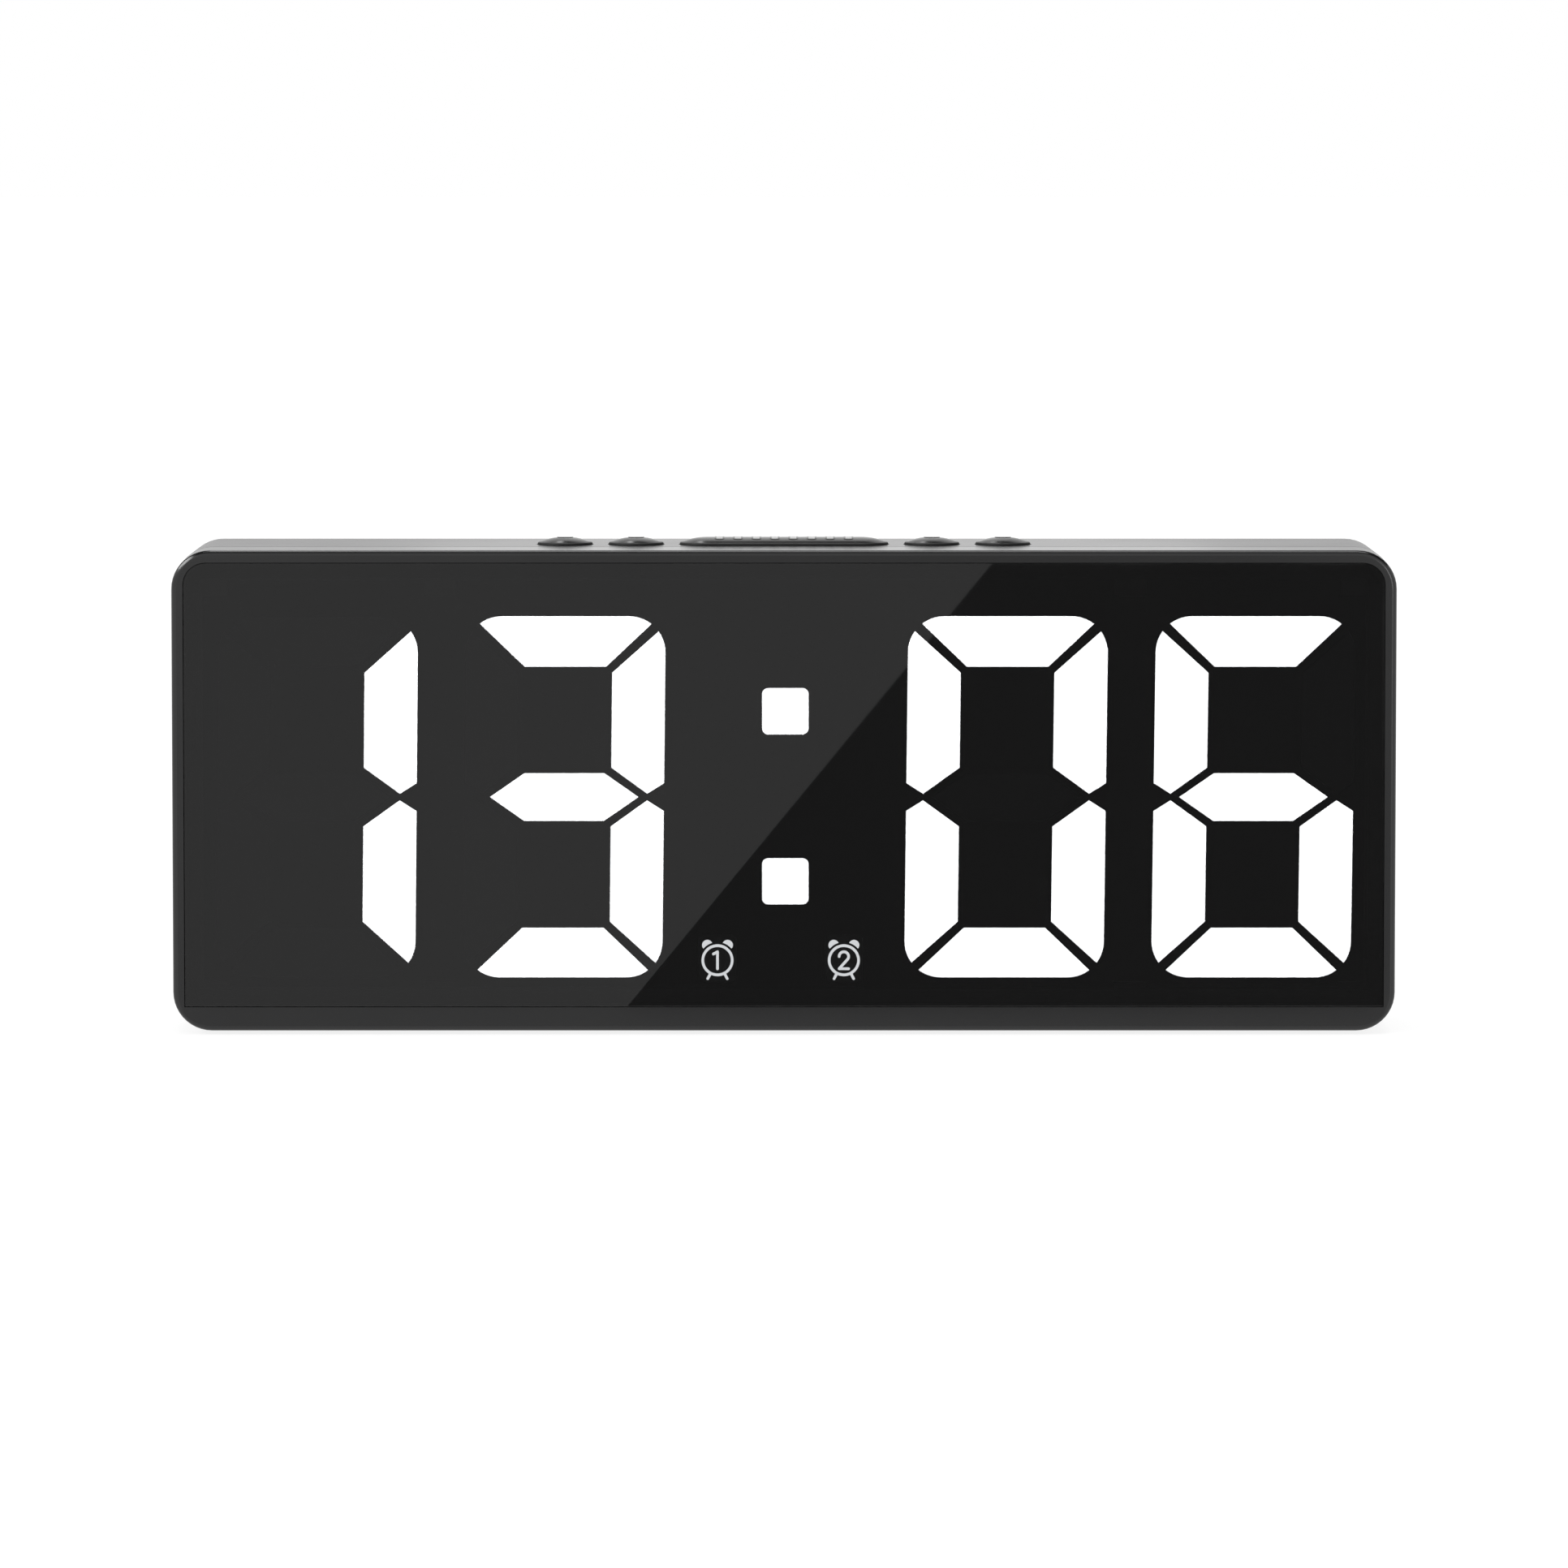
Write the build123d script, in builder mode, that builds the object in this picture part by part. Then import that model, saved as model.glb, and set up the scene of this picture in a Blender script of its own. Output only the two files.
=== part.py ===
from build123d import *
import os
from math import cos, degrees, atan2, radians, sin, sqrt

# A desk clock: four lit digits behind a dark lens, in a shallow plastic case.
# Lengths are in millimetres, with X to the right, Y from front to back and Z up.
# The origin lies on the table under the middle of the clock.

# Digits of the display
digit_width = 26.87
digit_height = 48.9
digit_pitch = 33.43
pair_spacing = 93.13
display_shift = 0.15
digit_corner_radius = 4.85
digit_lean_share = 0.011
side_bar = 7.07
top_bar = 6.75
bottom_bar = 6.67
middle_bar = 6.4
bar_gap = 1.25
end_bar_slant = 1.05
side_bar_slant = 0.9
waist_tip_in = 2.22
waist_tip_gap = 1.0
waist_outer_drop = 1.9
waist_inner_drop = 4.0
middle_tip_in = 3.47
middle_shoulder_in = 8.06

# Colon and alarm symbols of the display
colon_size = 6.2
colon_radius = 0.8
colon_shift = 0.18
colon_spread = 23.06
colon_rise = 0.1
icon_spacing = 17.1
icon_shift = -0.45
icon_height = 9.5
icon_plate_width = 5.0
icon_plate_height = 6.4
icon_plate_radius = 0.6
icon_ring_radius = 2.17
icon_ring_drop = 0.25
icon_line = 0.36
icon_bell_radius = 0.82
icon_bell_out = 1.36
icon_bell_up = 2.15
icon_bell_gap = 0.18
icon_foot_out = 1.32
icon_foot_down = 2.5
numeral_width = 1.28
numeral_height = 2.3
numeral_flag_width = 0.55
numeral_flag_drop = 0.3
numeral_bow_end = -35

# Room around the display inside the case
display_side_margin = 5.785
display_foot_margin = 6.96
display_head_margin = 9.14

# Case walls and edges
corner_radius = 5.25
front_edge_radius = 0.7
rear_edge_radius = 1.8
parting_chamfer = 0.15
frame_depth = 8.0
frame_side_wall = 1.6
frame_end_wall = 1.75
shell_wall = 2.0
shell_side_draft = 0.5
shell_rim = 1.0
lip_thickness = 1.0
lip_reach = 2.0
lip_root = 0.8
foot_standoff = 0.5

# Clearances
fit_gap = 0.1
lens_gap = 0.05
key_gap = 0.15
bar_fit = 0.05
moving_gap = 0.3

# Lens and its adhesive tape
lens_thickness = 1.8
lens_set_back = 0.1
lens_side_border = 1.6
lens_top_border = 1.7
lens_bottom_border = 3.3
lens_top_radius = 3.0
lens_bottom_radius = 1.2
lens_chamfer = 0.05
least_corner_radius = 0.5
tape_thickness = 0.2
tape_inset = 0.3
tape_width = 1.8
ledge_width = 2.5
ledge_thickness = 1.3

# Display stack behind the ledge
mask_thickness = 0.3
mask_side_gap = 0.6
bar_thickness = 1.4
bar_proud = 0.2
icon_relief = 0.2
reflector_depth = 6.0
reflector_side_border = 1.1
reflector_end_border = 0.5
light_cell_inset = 0.6
board_thickness = 1.6
board_side_border = 2.1
led_length = 1.6
led_width = 0.8
led_height = 0.6
led_spread = 8.0

# Screw bosses of the front frame, and the screws
boss_radius = 2.1
ear_width = 7.0
ear_reach = 1.8
well_gap_behind_board = 1.7
well_wall = 1.0
well_floor = 1.6
pilot_radius = 1.05
pilot_end_wall = 1.0
screw_radius = 1.0
screw_head_radius = 1.8
screw_head_height = 1.4
screw_head_edge_radius = 0.5
screw_slot_length = 2.2
screw_slot_width = 0.5
screw_slot_depth = 0.7
case_screw_length = 8.0
board_screw_length = 5.5
small_screw_length = 4.6

# Battery cells, their bay and its door
cell_count = 3
cell_diameter = 10.5
cell_length = 44.5
cell_edge_radius = 0.4
cell_button_radius = 1.9
cell_button_height = 0.8
cell_spacing = 0.5
cell_floor_gap = 0.3
cell_door_gap = 0.4
contact_room = 3.2
bay_side_inset = 19.05
bay_wall = 1.4
bay_floor = 1.2
bay_gap_behind_board = 2.7
collar_width = 2.8
collar_thickness = 1.2
door_thickness = 1.6
door_overlap = 1.6
door_corner_radius = 1.2
door_chamfer = 0.25
door_tab_width = 7.0
door_tab_spacing = 32.0
door_tab_thickness = 0.7
door_tab_reach = 1.8
door_tab_gap = 0.2
latch_width = 9.0
latch_thickness = 0.8
latch_drop = 0.4
latch_length = 3.1
latch_hook = 0.35
thumb_groove_count = 3
thumb_groove_width = 0.8
thumb_groove_length = 12.0
thumb_groove_pitch = 2.0
thumb_groove_depth = 0.5
thumb_groove_inset = 4.5

# Battery contacts and their leads
contact_thickness = 0.4
contact_plate = 8.4
bump_base_radius = 2.7
bump_tip_radius = 1.7
spring_wire = 0.5
spring_base_radius = 3.4
spring_taper = 12.0
spring_turns = 3
tag_width = 3.0
tag_reach = 2.6
tag_front = 2.0
tag_slot_gap = 0.2
lead_diameter = 0.9
lead_drop = 6.0
bend_share = 0.45

# Keys, switches and key board
key_diameter = 7.45
snooze_length = 28.3
key_proud = 1.05
key_wall_proud = 0.25
key_edge_radius = 0.2
key_mark_proud = 0.05
key_mark_radius = 1.1
snooze_mark_count = 8
snooze_mark_pitch = 2.5
snooze_mark_width = 1.3
snooze_mark_length = 4.4
key_flange_rim = 0.775
key_flange_spacing = 0.65
key_flange_thickness = 0.8
key_stem_radius = 1.6
key_stem_length = 0.3
key_travel = 0.4
switch_size = 6.0
switch_height = 2.4
switch_corner_radius = 0.5
plunger_radius = 1.7
plunger_proud = 0.7
plunger_engaged = 0.8
plunger_fit = 0.08
key_board_thickness = 1.0
key_board_front_reach = 4.0
key_board_rear_reach = 6.4
key_board_end_margin = 2.4
ribbon_width = 6.0
ribbon_thickness = 0.9
ribbon_y = 4.4
ribbon_drop = 7.4

# Power board and its socket
power_side_inset = 22.5
power_board_height = 7.5
power_board_thickness = 1.2
power_board_depth = 8.8
power_board_gap = 0.2
power_post_spacing = 16.4
power_board_end_margin = 3.0
power_post_radius = 2.0
power_post_inset = 5.8
socket_width = 8.94
socket_height = 3.26
socket_length = 7.35
socket_wall = 0.3
socket_set_in = 0.7
tongue_width = 6.7
tongue_thickness = 0.7
tongue_length = 4.9
tongue_base = 1.5
socket_window_gap = 0.25
power_lead_spacing = 5.0
power_lead_inset = 1.2
power_lead_rise = 8.0

# Buzzer in its collar, with the sound holes behind it
buzzer_side_inset = 47.5
buzzer_radius = 7.0
buzzer_height = 7.5
buzzer_hole_radius = 1.2
buzzer_hole_depth = 1.0
buzzer_collar_wall = 1.0
buzzer_collar_height = 4.0
buzzer_lead_spacing = 4.0
grille_hole_radius = 0.8
grille_circle_radius = 3.4
grille_hole_count = 6

# Parts on the rear of the main board
chip_x = 14.0
chip_length = 17.9
chip_width = 7.5
chip_height = 2.2
chip_seat = 0.1
chip_leg_width = 0.4
chip_leg_pitch = 1.27
chip_leg_count = 14
chip_leg_reach = 1.3
chip_leg_thickness = 0.25
crystal_x = 14.0
crystal_drop = 12.0
crystal_radius = 1.0
crystal_length = 6.0
crystal_leg_width = 0.4
crystal_leg_spacing = 1.0
crystal_leg_length = 1.2
capacitor_side_inset = 10.5
capacitor_drop = 14.0
capacitor_radius = 3.15
capacitor_height = 7.0
capacitor_edge_radius = 0.5
capacitor_groove = 0.25
capacitor_groove_height = 1.6
capacitor_groove_width = 0.6

# Rubber feet
foot_radius = 2.5
foot_thickness = 1.0
foot_edge_radius = 0.2
foot_side_inset = 14.5
foot_front_inset = 3.2
foot_rear_inset = 4.0

# Depths, from the front face to the rear wall
display_width = pair_spacing + digit_pitch + digit_width
body_width = display_width + 2 * display_side_margin
body_height = display_foot_margin + digit_height + display_head_margin
lens_stack = lens_set_back + lens_thickness + tape_thickness + ledge_thickness
display_stack = mask_thickness + reflector_depth + board_thickness
cell_stack = cell_floor_gap + cell_diameter + cell_door_gap
battery_stack = bay_gap_behind_board + bay_floor + cell_stack + door_thickness
body_depth = lens_stack + display_stack + battery_stack
front_y = -body_depth / 2
rear_y = body_depth / 2
parting_y = front_y + frame_depth
shell_inner_y = rear_y - shell_wall
lens_front_y = front_y + lens_set_back
lens_rear_y = lens_front_y + lens_thickness
ledge_front_y = lens_rear_y + tape_thickness
ledge_rear_y = ledge_front_y + ledge_thickness
reflector_front_y = ledge_rear_y + mask_thickness
board_front_y = reflector_front_y + reflector_depth
board_rear_y = board_front_y + board_thickness
bar_front_y = reflector_front_y - bar_proud

# Heights, from the underside of the case to its top
case_floor_z = foot_standoff
case_top_z = case_floor_z + body_height
case_mid_z = case_floor_z + body_height / 2
digits_floor_z = case_floor_z + display_foot_margin
digits_mid_z = digits_floor_z + digit_height / 2
digits_top_z = digits_floor_z + digit_height
lens_width = body_width - 2 * lens_side_border
lens_height = body_height - lens_top_border - lens_bottom_border
lens_mid_z = case_floor_z + lens_bottom_border + lens_height / 2
reflector_floor_z = digits_floor_z - reflector_end_border
reflector_top_z = digits_top_z + reflector_end_border
reflector_height = reflector_top_z - reflector_floor_z
reflector_mid_z = (reflector_floor_z + reflector_top_z) / 2
reflector_width = display_width + 2 * (reflector_side_border + display_shift)
board_width = display_width + 2 * (board_side_border + display_shift)

# Places of the digits, of the screw bosses and of the display's small marks
hour_center_x = display_shift - pair_spacing / 2
minute_center_x = display_shift + pair_spacing / 2
digit_centers = {
    "hour_tens": hour_center_x - digit_pitch / 2,
    "hour_units": hour_center_x + digit_pitch / 2,
    "minute_tens": minute_center_x - digit_pitch / 2,
    "minute_units": minute_center_x + digit_pitch / 2,
}
lit_bars = {
    "hour_tens": "bc",
    "hour_units": "abcdg",
    "minute_tens": "abcdef",
    "minute_units": "acdefg",
}
boss_edge_inset = shell_wall + fit_gap + boss_radius
boss_heights = (case_floor_z + boss_edge_inset, case_top_z - boss_edge_inset)
corner_boss_x = body_width / 2 - corner_radius
corner_bosses = [(x, z) for x in (-corner_boss_x, corner_boss_x) for z in boss_heights]
display_bosses = [(x, z) for x in (hour_center_x, minute_center_x) for z in boss_heights]
colon_places = [
    (colon_shift, digits_mid_z + colon_rise - colon_spread / 2),
    (colon_shift, digits_mid_z + colon_rise + colon_spread / 2),
]
icon_z = case_floor_z + icon_height
icon_places = {
    "one": (icon_shift - icon_spacing / 2, icon_z),
    "two": (icon_shift + icon_spacing / 2, icon_z),
}
well_front_y = board_rear_y + well_gap_behind_board
well_seat_y = well_front_y + well_floor
well_radius = screw_head_radius + moving_gap + well_wall


def facing(y):
    """Plane at depth y seen from the front: local up is Z, and an extrusion runs to the front."""
    return Plane.XZ.offset(-y)


def across(x):
    """Plane at x, with local right along Y and local up along Z."""
    return Plane.YZ.offset(x)


def level(z):
    """Plane at height z."""
    return Plane.XY.offset(z)


def boss_blocks(margin):
    """Blocks from the case's corners and ends to past each screw boss, by a margin."""
    block_height = 2 * (boss_edge_inset + boss_radius + margin)
    with BuildSketch() as blocks:
        for x, z in corner_bosses:
            side_x = body_width / 2 if x > 0 else -body_width / 2
            with Locations((side_x, case_floor_z if z < case_mid_z else case_top_z)):
                Rectangle(2 * (corner_radius + boss_radius + margin), block_height)
        for x, z in display_bosses:
            with Locations((x, case_floor_z if z < case_mid_z else case_top_z)):
                Rectangle(2 * (boss_radius + margin), block_height)
    return blocks.sketch


def lens_outline(margin):
    """The lens's face grown by a margin, with its tighter corners at the foot."""
    with BuildSketch() as outline:
        with Locations((0, lens_mid_z)):
            Rectangle(lens_width + 2 * margin, lens_height + 2 * margin)
        rows = outline.vertices().group_by(Axis.Y)
        fillet(rows[-1], max(lens_top_radius + margin, least_corner_radius))
        fillet(rows[0], max(lens_bottom_radius + margin, least_corner_radius))
    return outline.sketch


def leaned(point, center_x):
    """A corner of a bar, given from the digit's lower left, set in the leaning digit."""
    u, v = point
    lean = digit_lean_share * (v - digit_height / 2)
    return (center_x + u - digit_width / 2 + lean, digits_floor_z + v)


# Bars of a digit, lettered clockwise from the top, with the middle one last
miter = bar_gap / sqrt(2)
waist = digit_height / 2


def mirrored_across(points):
    """The same bar on the other side of the digit."""
    return [(digit_width - u, v) for u, v in points]


def mirrored_down(points):
    """The same bar in the other half of the digit."""
    return [(u, digit_height - v) for u, v in points]


def end_bar(height):
    """Corners of the top bar."""
    inner_in = side_bar + miter
    outer_in = inner_in - end_bar_slant * height
    return [
        (inner_in, digit_height - height),
        (digit_width - inner_in, digit_height - height),
        (digit_width - outer_in, digit_height),
        (outer_in, digit_height),
    ]


def upper_left_bar(end_height):
    """Corners of the left bar in the upper half, below an end bar of this height."""
    return [
        (side_bar, digit_height - end_height - miter),
        (0, digit_height - end_height - miter + side_bar_slant * side_bar),
        (0, waist + waist_outer_drop),
        (waist_tip_in, waist + waist_tip_gap / 2),
        (side_bar, waist + waist_inner_drop),
    ]


bar_corners = {
    "a": end_bar(top_bar),
    "b": mirrored_across(upper_left_bar(top_bar)),
    "c": mirrored_across(mirrored_down(upper_left_bar(bottom_bar))),
    "d": mirrored_down(end_bar(bottom_bar)),
    "e": mirrored_down(upper_left_bar(bottom_bar)),
    "f": upper_left_bar(top_bar),
    "g": [
        (middle_tip_in, waist),
        (middle_shoulder_in, waist + middle_bar / 2),
        (digit_width - middle_shoulder_in, waist + middle_bar / 2),
        (digit_width - middle_tip_in, waist),
        (digit_width - middle_shoulder_in, waist - middle_bar / 2),
        (middle_shoulder_in, waist - middle_bar / 2),
    ],
}
digit_corners = [(0, 0), (digit_width, 0), (digit_width, digit_height), (0, digit_height)]


def digit_face(center_x):
    """The outline of a whole digit, with its rounded corners."""
    with BuildSketch() as face:
        with BuildLine():
            Polyline(*[leaned(corner, center_x) for corner in digit_corners], close=True)
        make_face()
        fillet(face.vertices(), digit_corner_radius)
    return face.sketch


def bars_face(letters, center_x):
    """The bars with these letters in the digit at center_x."""
    with BuildSketch() as face:
        for letter in letters:
            with BuildLine():
                Polyline(*[leaned(corner, center_x) for corner in bar_corners[letter]], close=True)
            make_face()
        add(digit_face_at[center_x], mode=Mode.INTERSECT)
    return face.sketch


def merged(faces):
    """Several flat outlines as one."""
    with BuildSketch() as face:
        for item in faces:
            add(item)
    return face.sketch


def grown(face, amount):
    """A flat outline moved out by an amount, with sharp corners."""
    with BuildSketch() as result:
        offset(face, amount=amount, kind=Kind.INTERSECTION)
    return result.sketch


digit_face_at = {center_x: digit_face(center_x) for center_x in digit_centers.values()}
lit_faces = {name: bars_face(lit_bars[name], digit_centers[name]) for name in lit_bars}
unlit_faces = [
    bars_face([letter for letter in bar_corners if letter not in lit_bars[name]], digit_centers[name])
    for name in lit_bars
    if len(lit_bars[name]) < len(bar_corners)
]

with BuildSketch() as colon_sketch:
    with Locations(*colon_places):
        RectangleRounded(colon_size, colon_size, colon_radius)

with BuildSketch() as icon_plates_sketch:
    with Locations(*icon_places.values()):
        RectangleRounded(icon_plate_width, icon_plate_height, icon_plate_radius)

all_windows = merged([*lit_faces.values(), *unlit_faces, colon_sketch.sketch, icon_plates_sketch.sketch])
window_openings = grown(all_windows, bar_fit)
light_cells = grown(all_windows, -light_cell_inset)
lens_pocket = lens_outline(lens_gap)
lens_face = lens_outline(0)
view_window = lens_outline(-ledge_width)
tape_outer = lens_outline(-tape_inset)
tape_inner = lens_outline(-tape_inset - tape_width)
bosses_to_walls = boss_blocks(0)
mask_notches = boss_blocks(fit_gap)
lip_notches = boss_blocks(moving_gap)

# Front frame: the outer band, the pocket and ledge for the lens, and eight screw bosses
with BuildPart() as front_frame:
    with BuildSketch(facing(front_y)):
        with Locations((0, case_mid_z)):
            RectangleRounded(body_width, body_height, corner_radius)
    extrude(amount=-frame_depth)
    fillet(front_frame.edges().group_by(Axis.Y)[0], front_edge_radius)
    chamfer(front_frame.edges().group_by(Axis.Y)[-1], parting_chamfer)
    with BuildSketch(facing(front_y)):
        add(lens_pocket)
    extrude(amount=-(ledge_front_y - front_y), mode=Mode.SUBTRACT)
    with BuildSketch(facing(front_y)):
        add(view_window)
    extrude(amount=-frame_depth, mode=Mode.SUBTRACT)
    with BuildSketch(facing(parting_y)):
        with Locations((0, case_mid_z)):
            RectangleRounded(
                body_width - 2 * frame_side_wall,
                body_height - 2 * frame_end_wall,
                corner_radius - frame_side_wall,
            )
    extrude(amount=parting_y - ledge_rear_y, mode=Mode.SUBTRACT)
    with BuildSketch(facing(parting_y)):
        add(bosses_to_walls)
        with Locations((0, case_mid_z)):
            RectangleRounded(
                body_width - frame_side_wall,
                body_height - frame_end_wall,
                corner_radius - frame_side_wall / 2,
                mode=Mode.INTERSECT,
            )
    extrude(amount=parting_y - ledge_rear_y)
    with BuildSketch(facing(board_front_y)):
        with Locations(*display_bosses):
            Circle(boss_radius)
    extrude(amount=board_front_y - ledge_rear_y)
    with BuildSketch(facing(well_front_y - fit_gap)):
        with Locations(*corner_bosses):
            Circle(boss_radius)
    extrude(amount=well_front_y - fit_gap - ledge_rear_y)
    with BuildSketch(facing(board_front_y)):
        with Locations(*display_bosses):
            Circle(pilot_radius)
    extrude(amount=board_front_y - ledge_rear_y - pilot_end_wall, mode=Mode.SUBTRACT)
    with BuildSketch(facing(well_front_y - fit_gap)):
        with Locations(*corner_bosses):
            Circle(pilot_radius)
    extrude(amount=well_front_y - fit_gap - ledge_rear_y - pilot_end_wall, mode=Mode.SUBTRACT)

# Lens and the tape ring that holds it on the ledge
with BuildPart() as front_lens:
    with BuildSketch(facing(lens_front_y)):
        add(lens_face)
    extrude(amount=-lens_thickness)
    chamfer(front_lens.edges().group_by(Axis.Y)[0], lens_chamfer)

with BuildPart() as lens_tape:
    with BuildSketch(facing(lens_rear_y)):
        add(tape_outer)
        add(tape_inner, mode=Mode.SUBTRACT)
    extrude(amount=-tape_thickness)

# Black mask over the reflector, with a window for each bar, dot and symbol
with BuildPart() as display_mask:
    with BuildSketch(facing(ledge_rear_y)):
        with Locations((0, case_mid_z)):
            RectangleRounded(
                body_width - 2 * (frame_side_wall + mask_side_gap),
                body_height - 2 * (frame_end_wall + mask_side_gap),
                corner_radius - frame_side_wall - mask_side_gap,
            )
        add(mask_notches, mode=Mode.SUBTRACT)
        add(window_openings, mode=Mode.SUBTRACT)
    extrude(amount=-mask_thickness)

# White reflector block: a seat for each window piece, over an open light cell
with BuildPart() as display_reflector:
    with BuildSketch(facing(reflector_front_y)):
        with Locations((0, reflector_mid_z)):
            Rectangle(reflector_width, reflector_height)
    extrude(amount=-reflector_depth)
    with BuildSketch(facing(reflector_front_y)):
        add(window_openings)
    extrude(amount=-(bar_thickness - bar_proud), mode=Mode.SUBTRACT)
    with BuildSketch(facing(reflector_front_y)):
        add(light_cells)
    extrude(amount=-reflector_depth, mode=Mode.SUBTRACT)

# Diffusing bars: those that are lit in each digit, and all the unlit ones
digit_bars = {}
for name, face in lit_faces.items():
    with BuildPart() as digit_bars[name]:
        with BuildSketch(facing(bar_front_y)):
            add(face)
        extrude(amount=-bar_thickness)

with BuildPart() as unlit_segments:
    with BuildSketch(facing(bar_front_y)):
        for face in unlit_faces:
            add(face)
    extrude(amount=-bar_thickness)

with BuildPart() as colon_dots:
    with BuildSketch(facing(bar_front_y)):
        add(colon_sketch.sketch)
    extrude(amount=-bar_thickness)

# Alarm symbols: a round clock with two bells, two feet and a plain number
def stroke(start, end):
    """A line with round ends between two points of a symbol."""
    across_x, across_z = end[0] - start[0], end[1] - start[1]
    with Locations(((start[0] + end[0]) / 2, (start[1] + end[1]) / 2)):
        SlotCenterToCenter(
            sqrt(across_x**2 + across_z**2), icon_line, rotation=degrees(atan2(across_z, across_x)),
        )


numeral_out = numeral_width / 2
numeral_top = numeral_height / 2
bow_up = numeral_top - numeral_out
bow_end = (
    numeral_out * cos(radians(numeral_bow_end)),
    bow_up + numeral_out * sin(radians(numeral_bow_end)),
)
with BuildLine() as numeral_bow:
    CenterArc((0, bow_up), numeral_out, 180, numeral_bow_end - 180)
icons = {}
for number, (icon_x, icon_mid_z) in icon_places.items():
    with BuildSketch() as icon_sketch:
        for side in (-1, 1):
            with Locations((side * icon_bell_out, icon_bell_up)):
                Circle(icon_bell_radius)
        Circle(icon_ring_radius + icon_bell_gap, mode=Mode.SUBTRACT)
        Circle(icon_ring_radius)
        Circle(icon_ring_radius - icon_line, mode=Mode.SUBTRACT)
        for side in (-1, 1):
            foot_share = (icon_ring_radius - icon_line / 2) / sqrt(icon_foot_out**2 + icon_foot_down**2)
            stroke(
                (side * icon_foot_out * foot_share, -icon_foot_down * foot_share),
                (side * icon_foot_out, -icon_foot_down),
            )
        if number == "one":
            stroke((0, -numeral_top), (0, numeral_top))
            stroke((0, numeral_top), (-numeral_flag_width, numeral_top - numeral_flag_drop))
        else:
            add(SlotArc(numeral_bow.wire(), icon_line, mode=Mode.PRIVATE))
            stroke(bow_end, (-numeral_out, -numeral_top))
            stroke((-numeral_out, -numeral_top), (numeral_out, -numeral_top))
    with BuildPart() as icons[number]:
        with BuildSketch(facing(bar_front_y + icon_relief)):
            with Locations((icon_x, icon_mid_z)):
                RectangleRounded(icon_plate_width, icon_plate_height, icon_plate_radius)
        extrude(amount=-(bar_thickness - icon_relief))
        with BuildSketch(facing(bar_front_y + icon_relief)):
            with Locations((icon_x, icon_mid_z - icon_ring_drop)):
                add(icon_sketch.sketch)
        extrude(amount=icon_relief)

# Main board behind the reflector, with four ears for its screws
with BuildPart() as main_board:
    with BuildSketch(facing(board_front_y)):
        with Locations((0, reflector_mid_z)):
            Rectangle(board_width, reflector_height)
        for ear_x, ear_z in display_bosses:
            ear_end_z = ear_z + (ear_reach if ear_z > case_mid_z else -ear_reach)
            with Locations((ear_x, (ear_end_z + reflector_mid_z) / 2)):
                Rectangle(ear_width, abs(ear_end_z - reflector_mid_z))
        with Locations(*display_bosses):
            Circle(screw_radius + fit_gap, mode=Mode.SUBTRACT)
    extrude(amount=-board_thickness)

# Light emitting diodes, two to a bar, one to a dot or symbol
led_places = []
for name, center_x in digit_centers.items():
    for letter, corners in bar_corners.items():
        bar_u = sum(u for u, v in corners) / len(corners)
        bar_v = sum(v for u, v in corners) / len(corners)
        lies_flat = letter in "adg"
        for side in (-1, 1):
            shift_u = side * led_spread / 2 if lies_flat else 0
            shift_v = 0 if lies_flat else side * led_spread / 2
            led_places.append(leaned((bar_u + shift_u, bar_v + shift_v), center_x))
led_places = led_places + colon_places + list(icon_places.values())

with BuildPart() as segment_leds:
    with BuildSketch(facing(board_front_y)):
        with Locations(*led_places):
            Rectangle(led_length, led_width)
    extrude(amount=led_height)

# Battery bay: its rim, its cells and the seat of its door
cell_pitch = cell_diameter + cell_spacing
bay_length = cell_length + 2 * contact_room
bay_height = cell_count * cell_pitch + cell_spacing
bay_start_x = bay_side_inset - body_width / 2
bay_end_x = bay_start_x + bay_length
bay_center_x = (bay_start_x + bay_end_x) / 2
door_inner_y = rear_y - door_thickness
door_seat_y = door_inner_y - moving_gap
cell_center_y = door_inner_y - cell_door_gap - cell_diameter / 2
bay_floor_y = cell_center_y - cell_diameter / 2 - cell_floor_gap
door_width = bay_length + 2 * door_overlap
door_height = bay_height + 2 * door_overlap
door_floor_z = case_mid_z - door_height / 2
door_top_z = case_mid_z + door_height / 2
cell_heights = [case_mid_z + (row - (cell_count - 1) / 2) * cell_pitch for row in range(cell_count)]
tab_places = (bay_center_x - door_tab_spacing / 2, bay_center_x + door_tab_spacing / 2)
latch_top_z = door_top_z - latch_drop
latch_front_y = door_inner_y - latch_length
tag_y = cell_center_y - tag_front

# Keys: their places from the middle outwards, and the stack from the top wall down
key_spacing = 2 * key_flange_rim + key_flange_spacing
inner_key_x = snooze_length / 2 + key_spacing + key_diameter / 2
outer_key_x = inner_key_x + key_diameter + key_spacing
key_places = {
    "left_outer": -outer_key_x,
    "left_inner": -inner_key_x,
    "snooze": 0,
    "right_inner": inner_key_x,
    "right_outer": outer_key_x,
}
flange_top_z = case_top_z - shell_wall - moving_gap
flange_floor_z = flange_top_z - key_flange_thickness
plunger_top_z = flange_floor_z - key_stem_length
switch_top_z = plunger_top_z - plunger_proud
key_board_top_z = switch_top_z - switch_height
key_board_floor_z = key_board_top_z - key_board_thickness
key_screw_x = outer_key_x + key_diameter / 2 + key_flange_rim + moving_gap + boss_radius
key_screws = [(-key_screw_x, 0), (key_screw_x, 0)]

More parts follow.
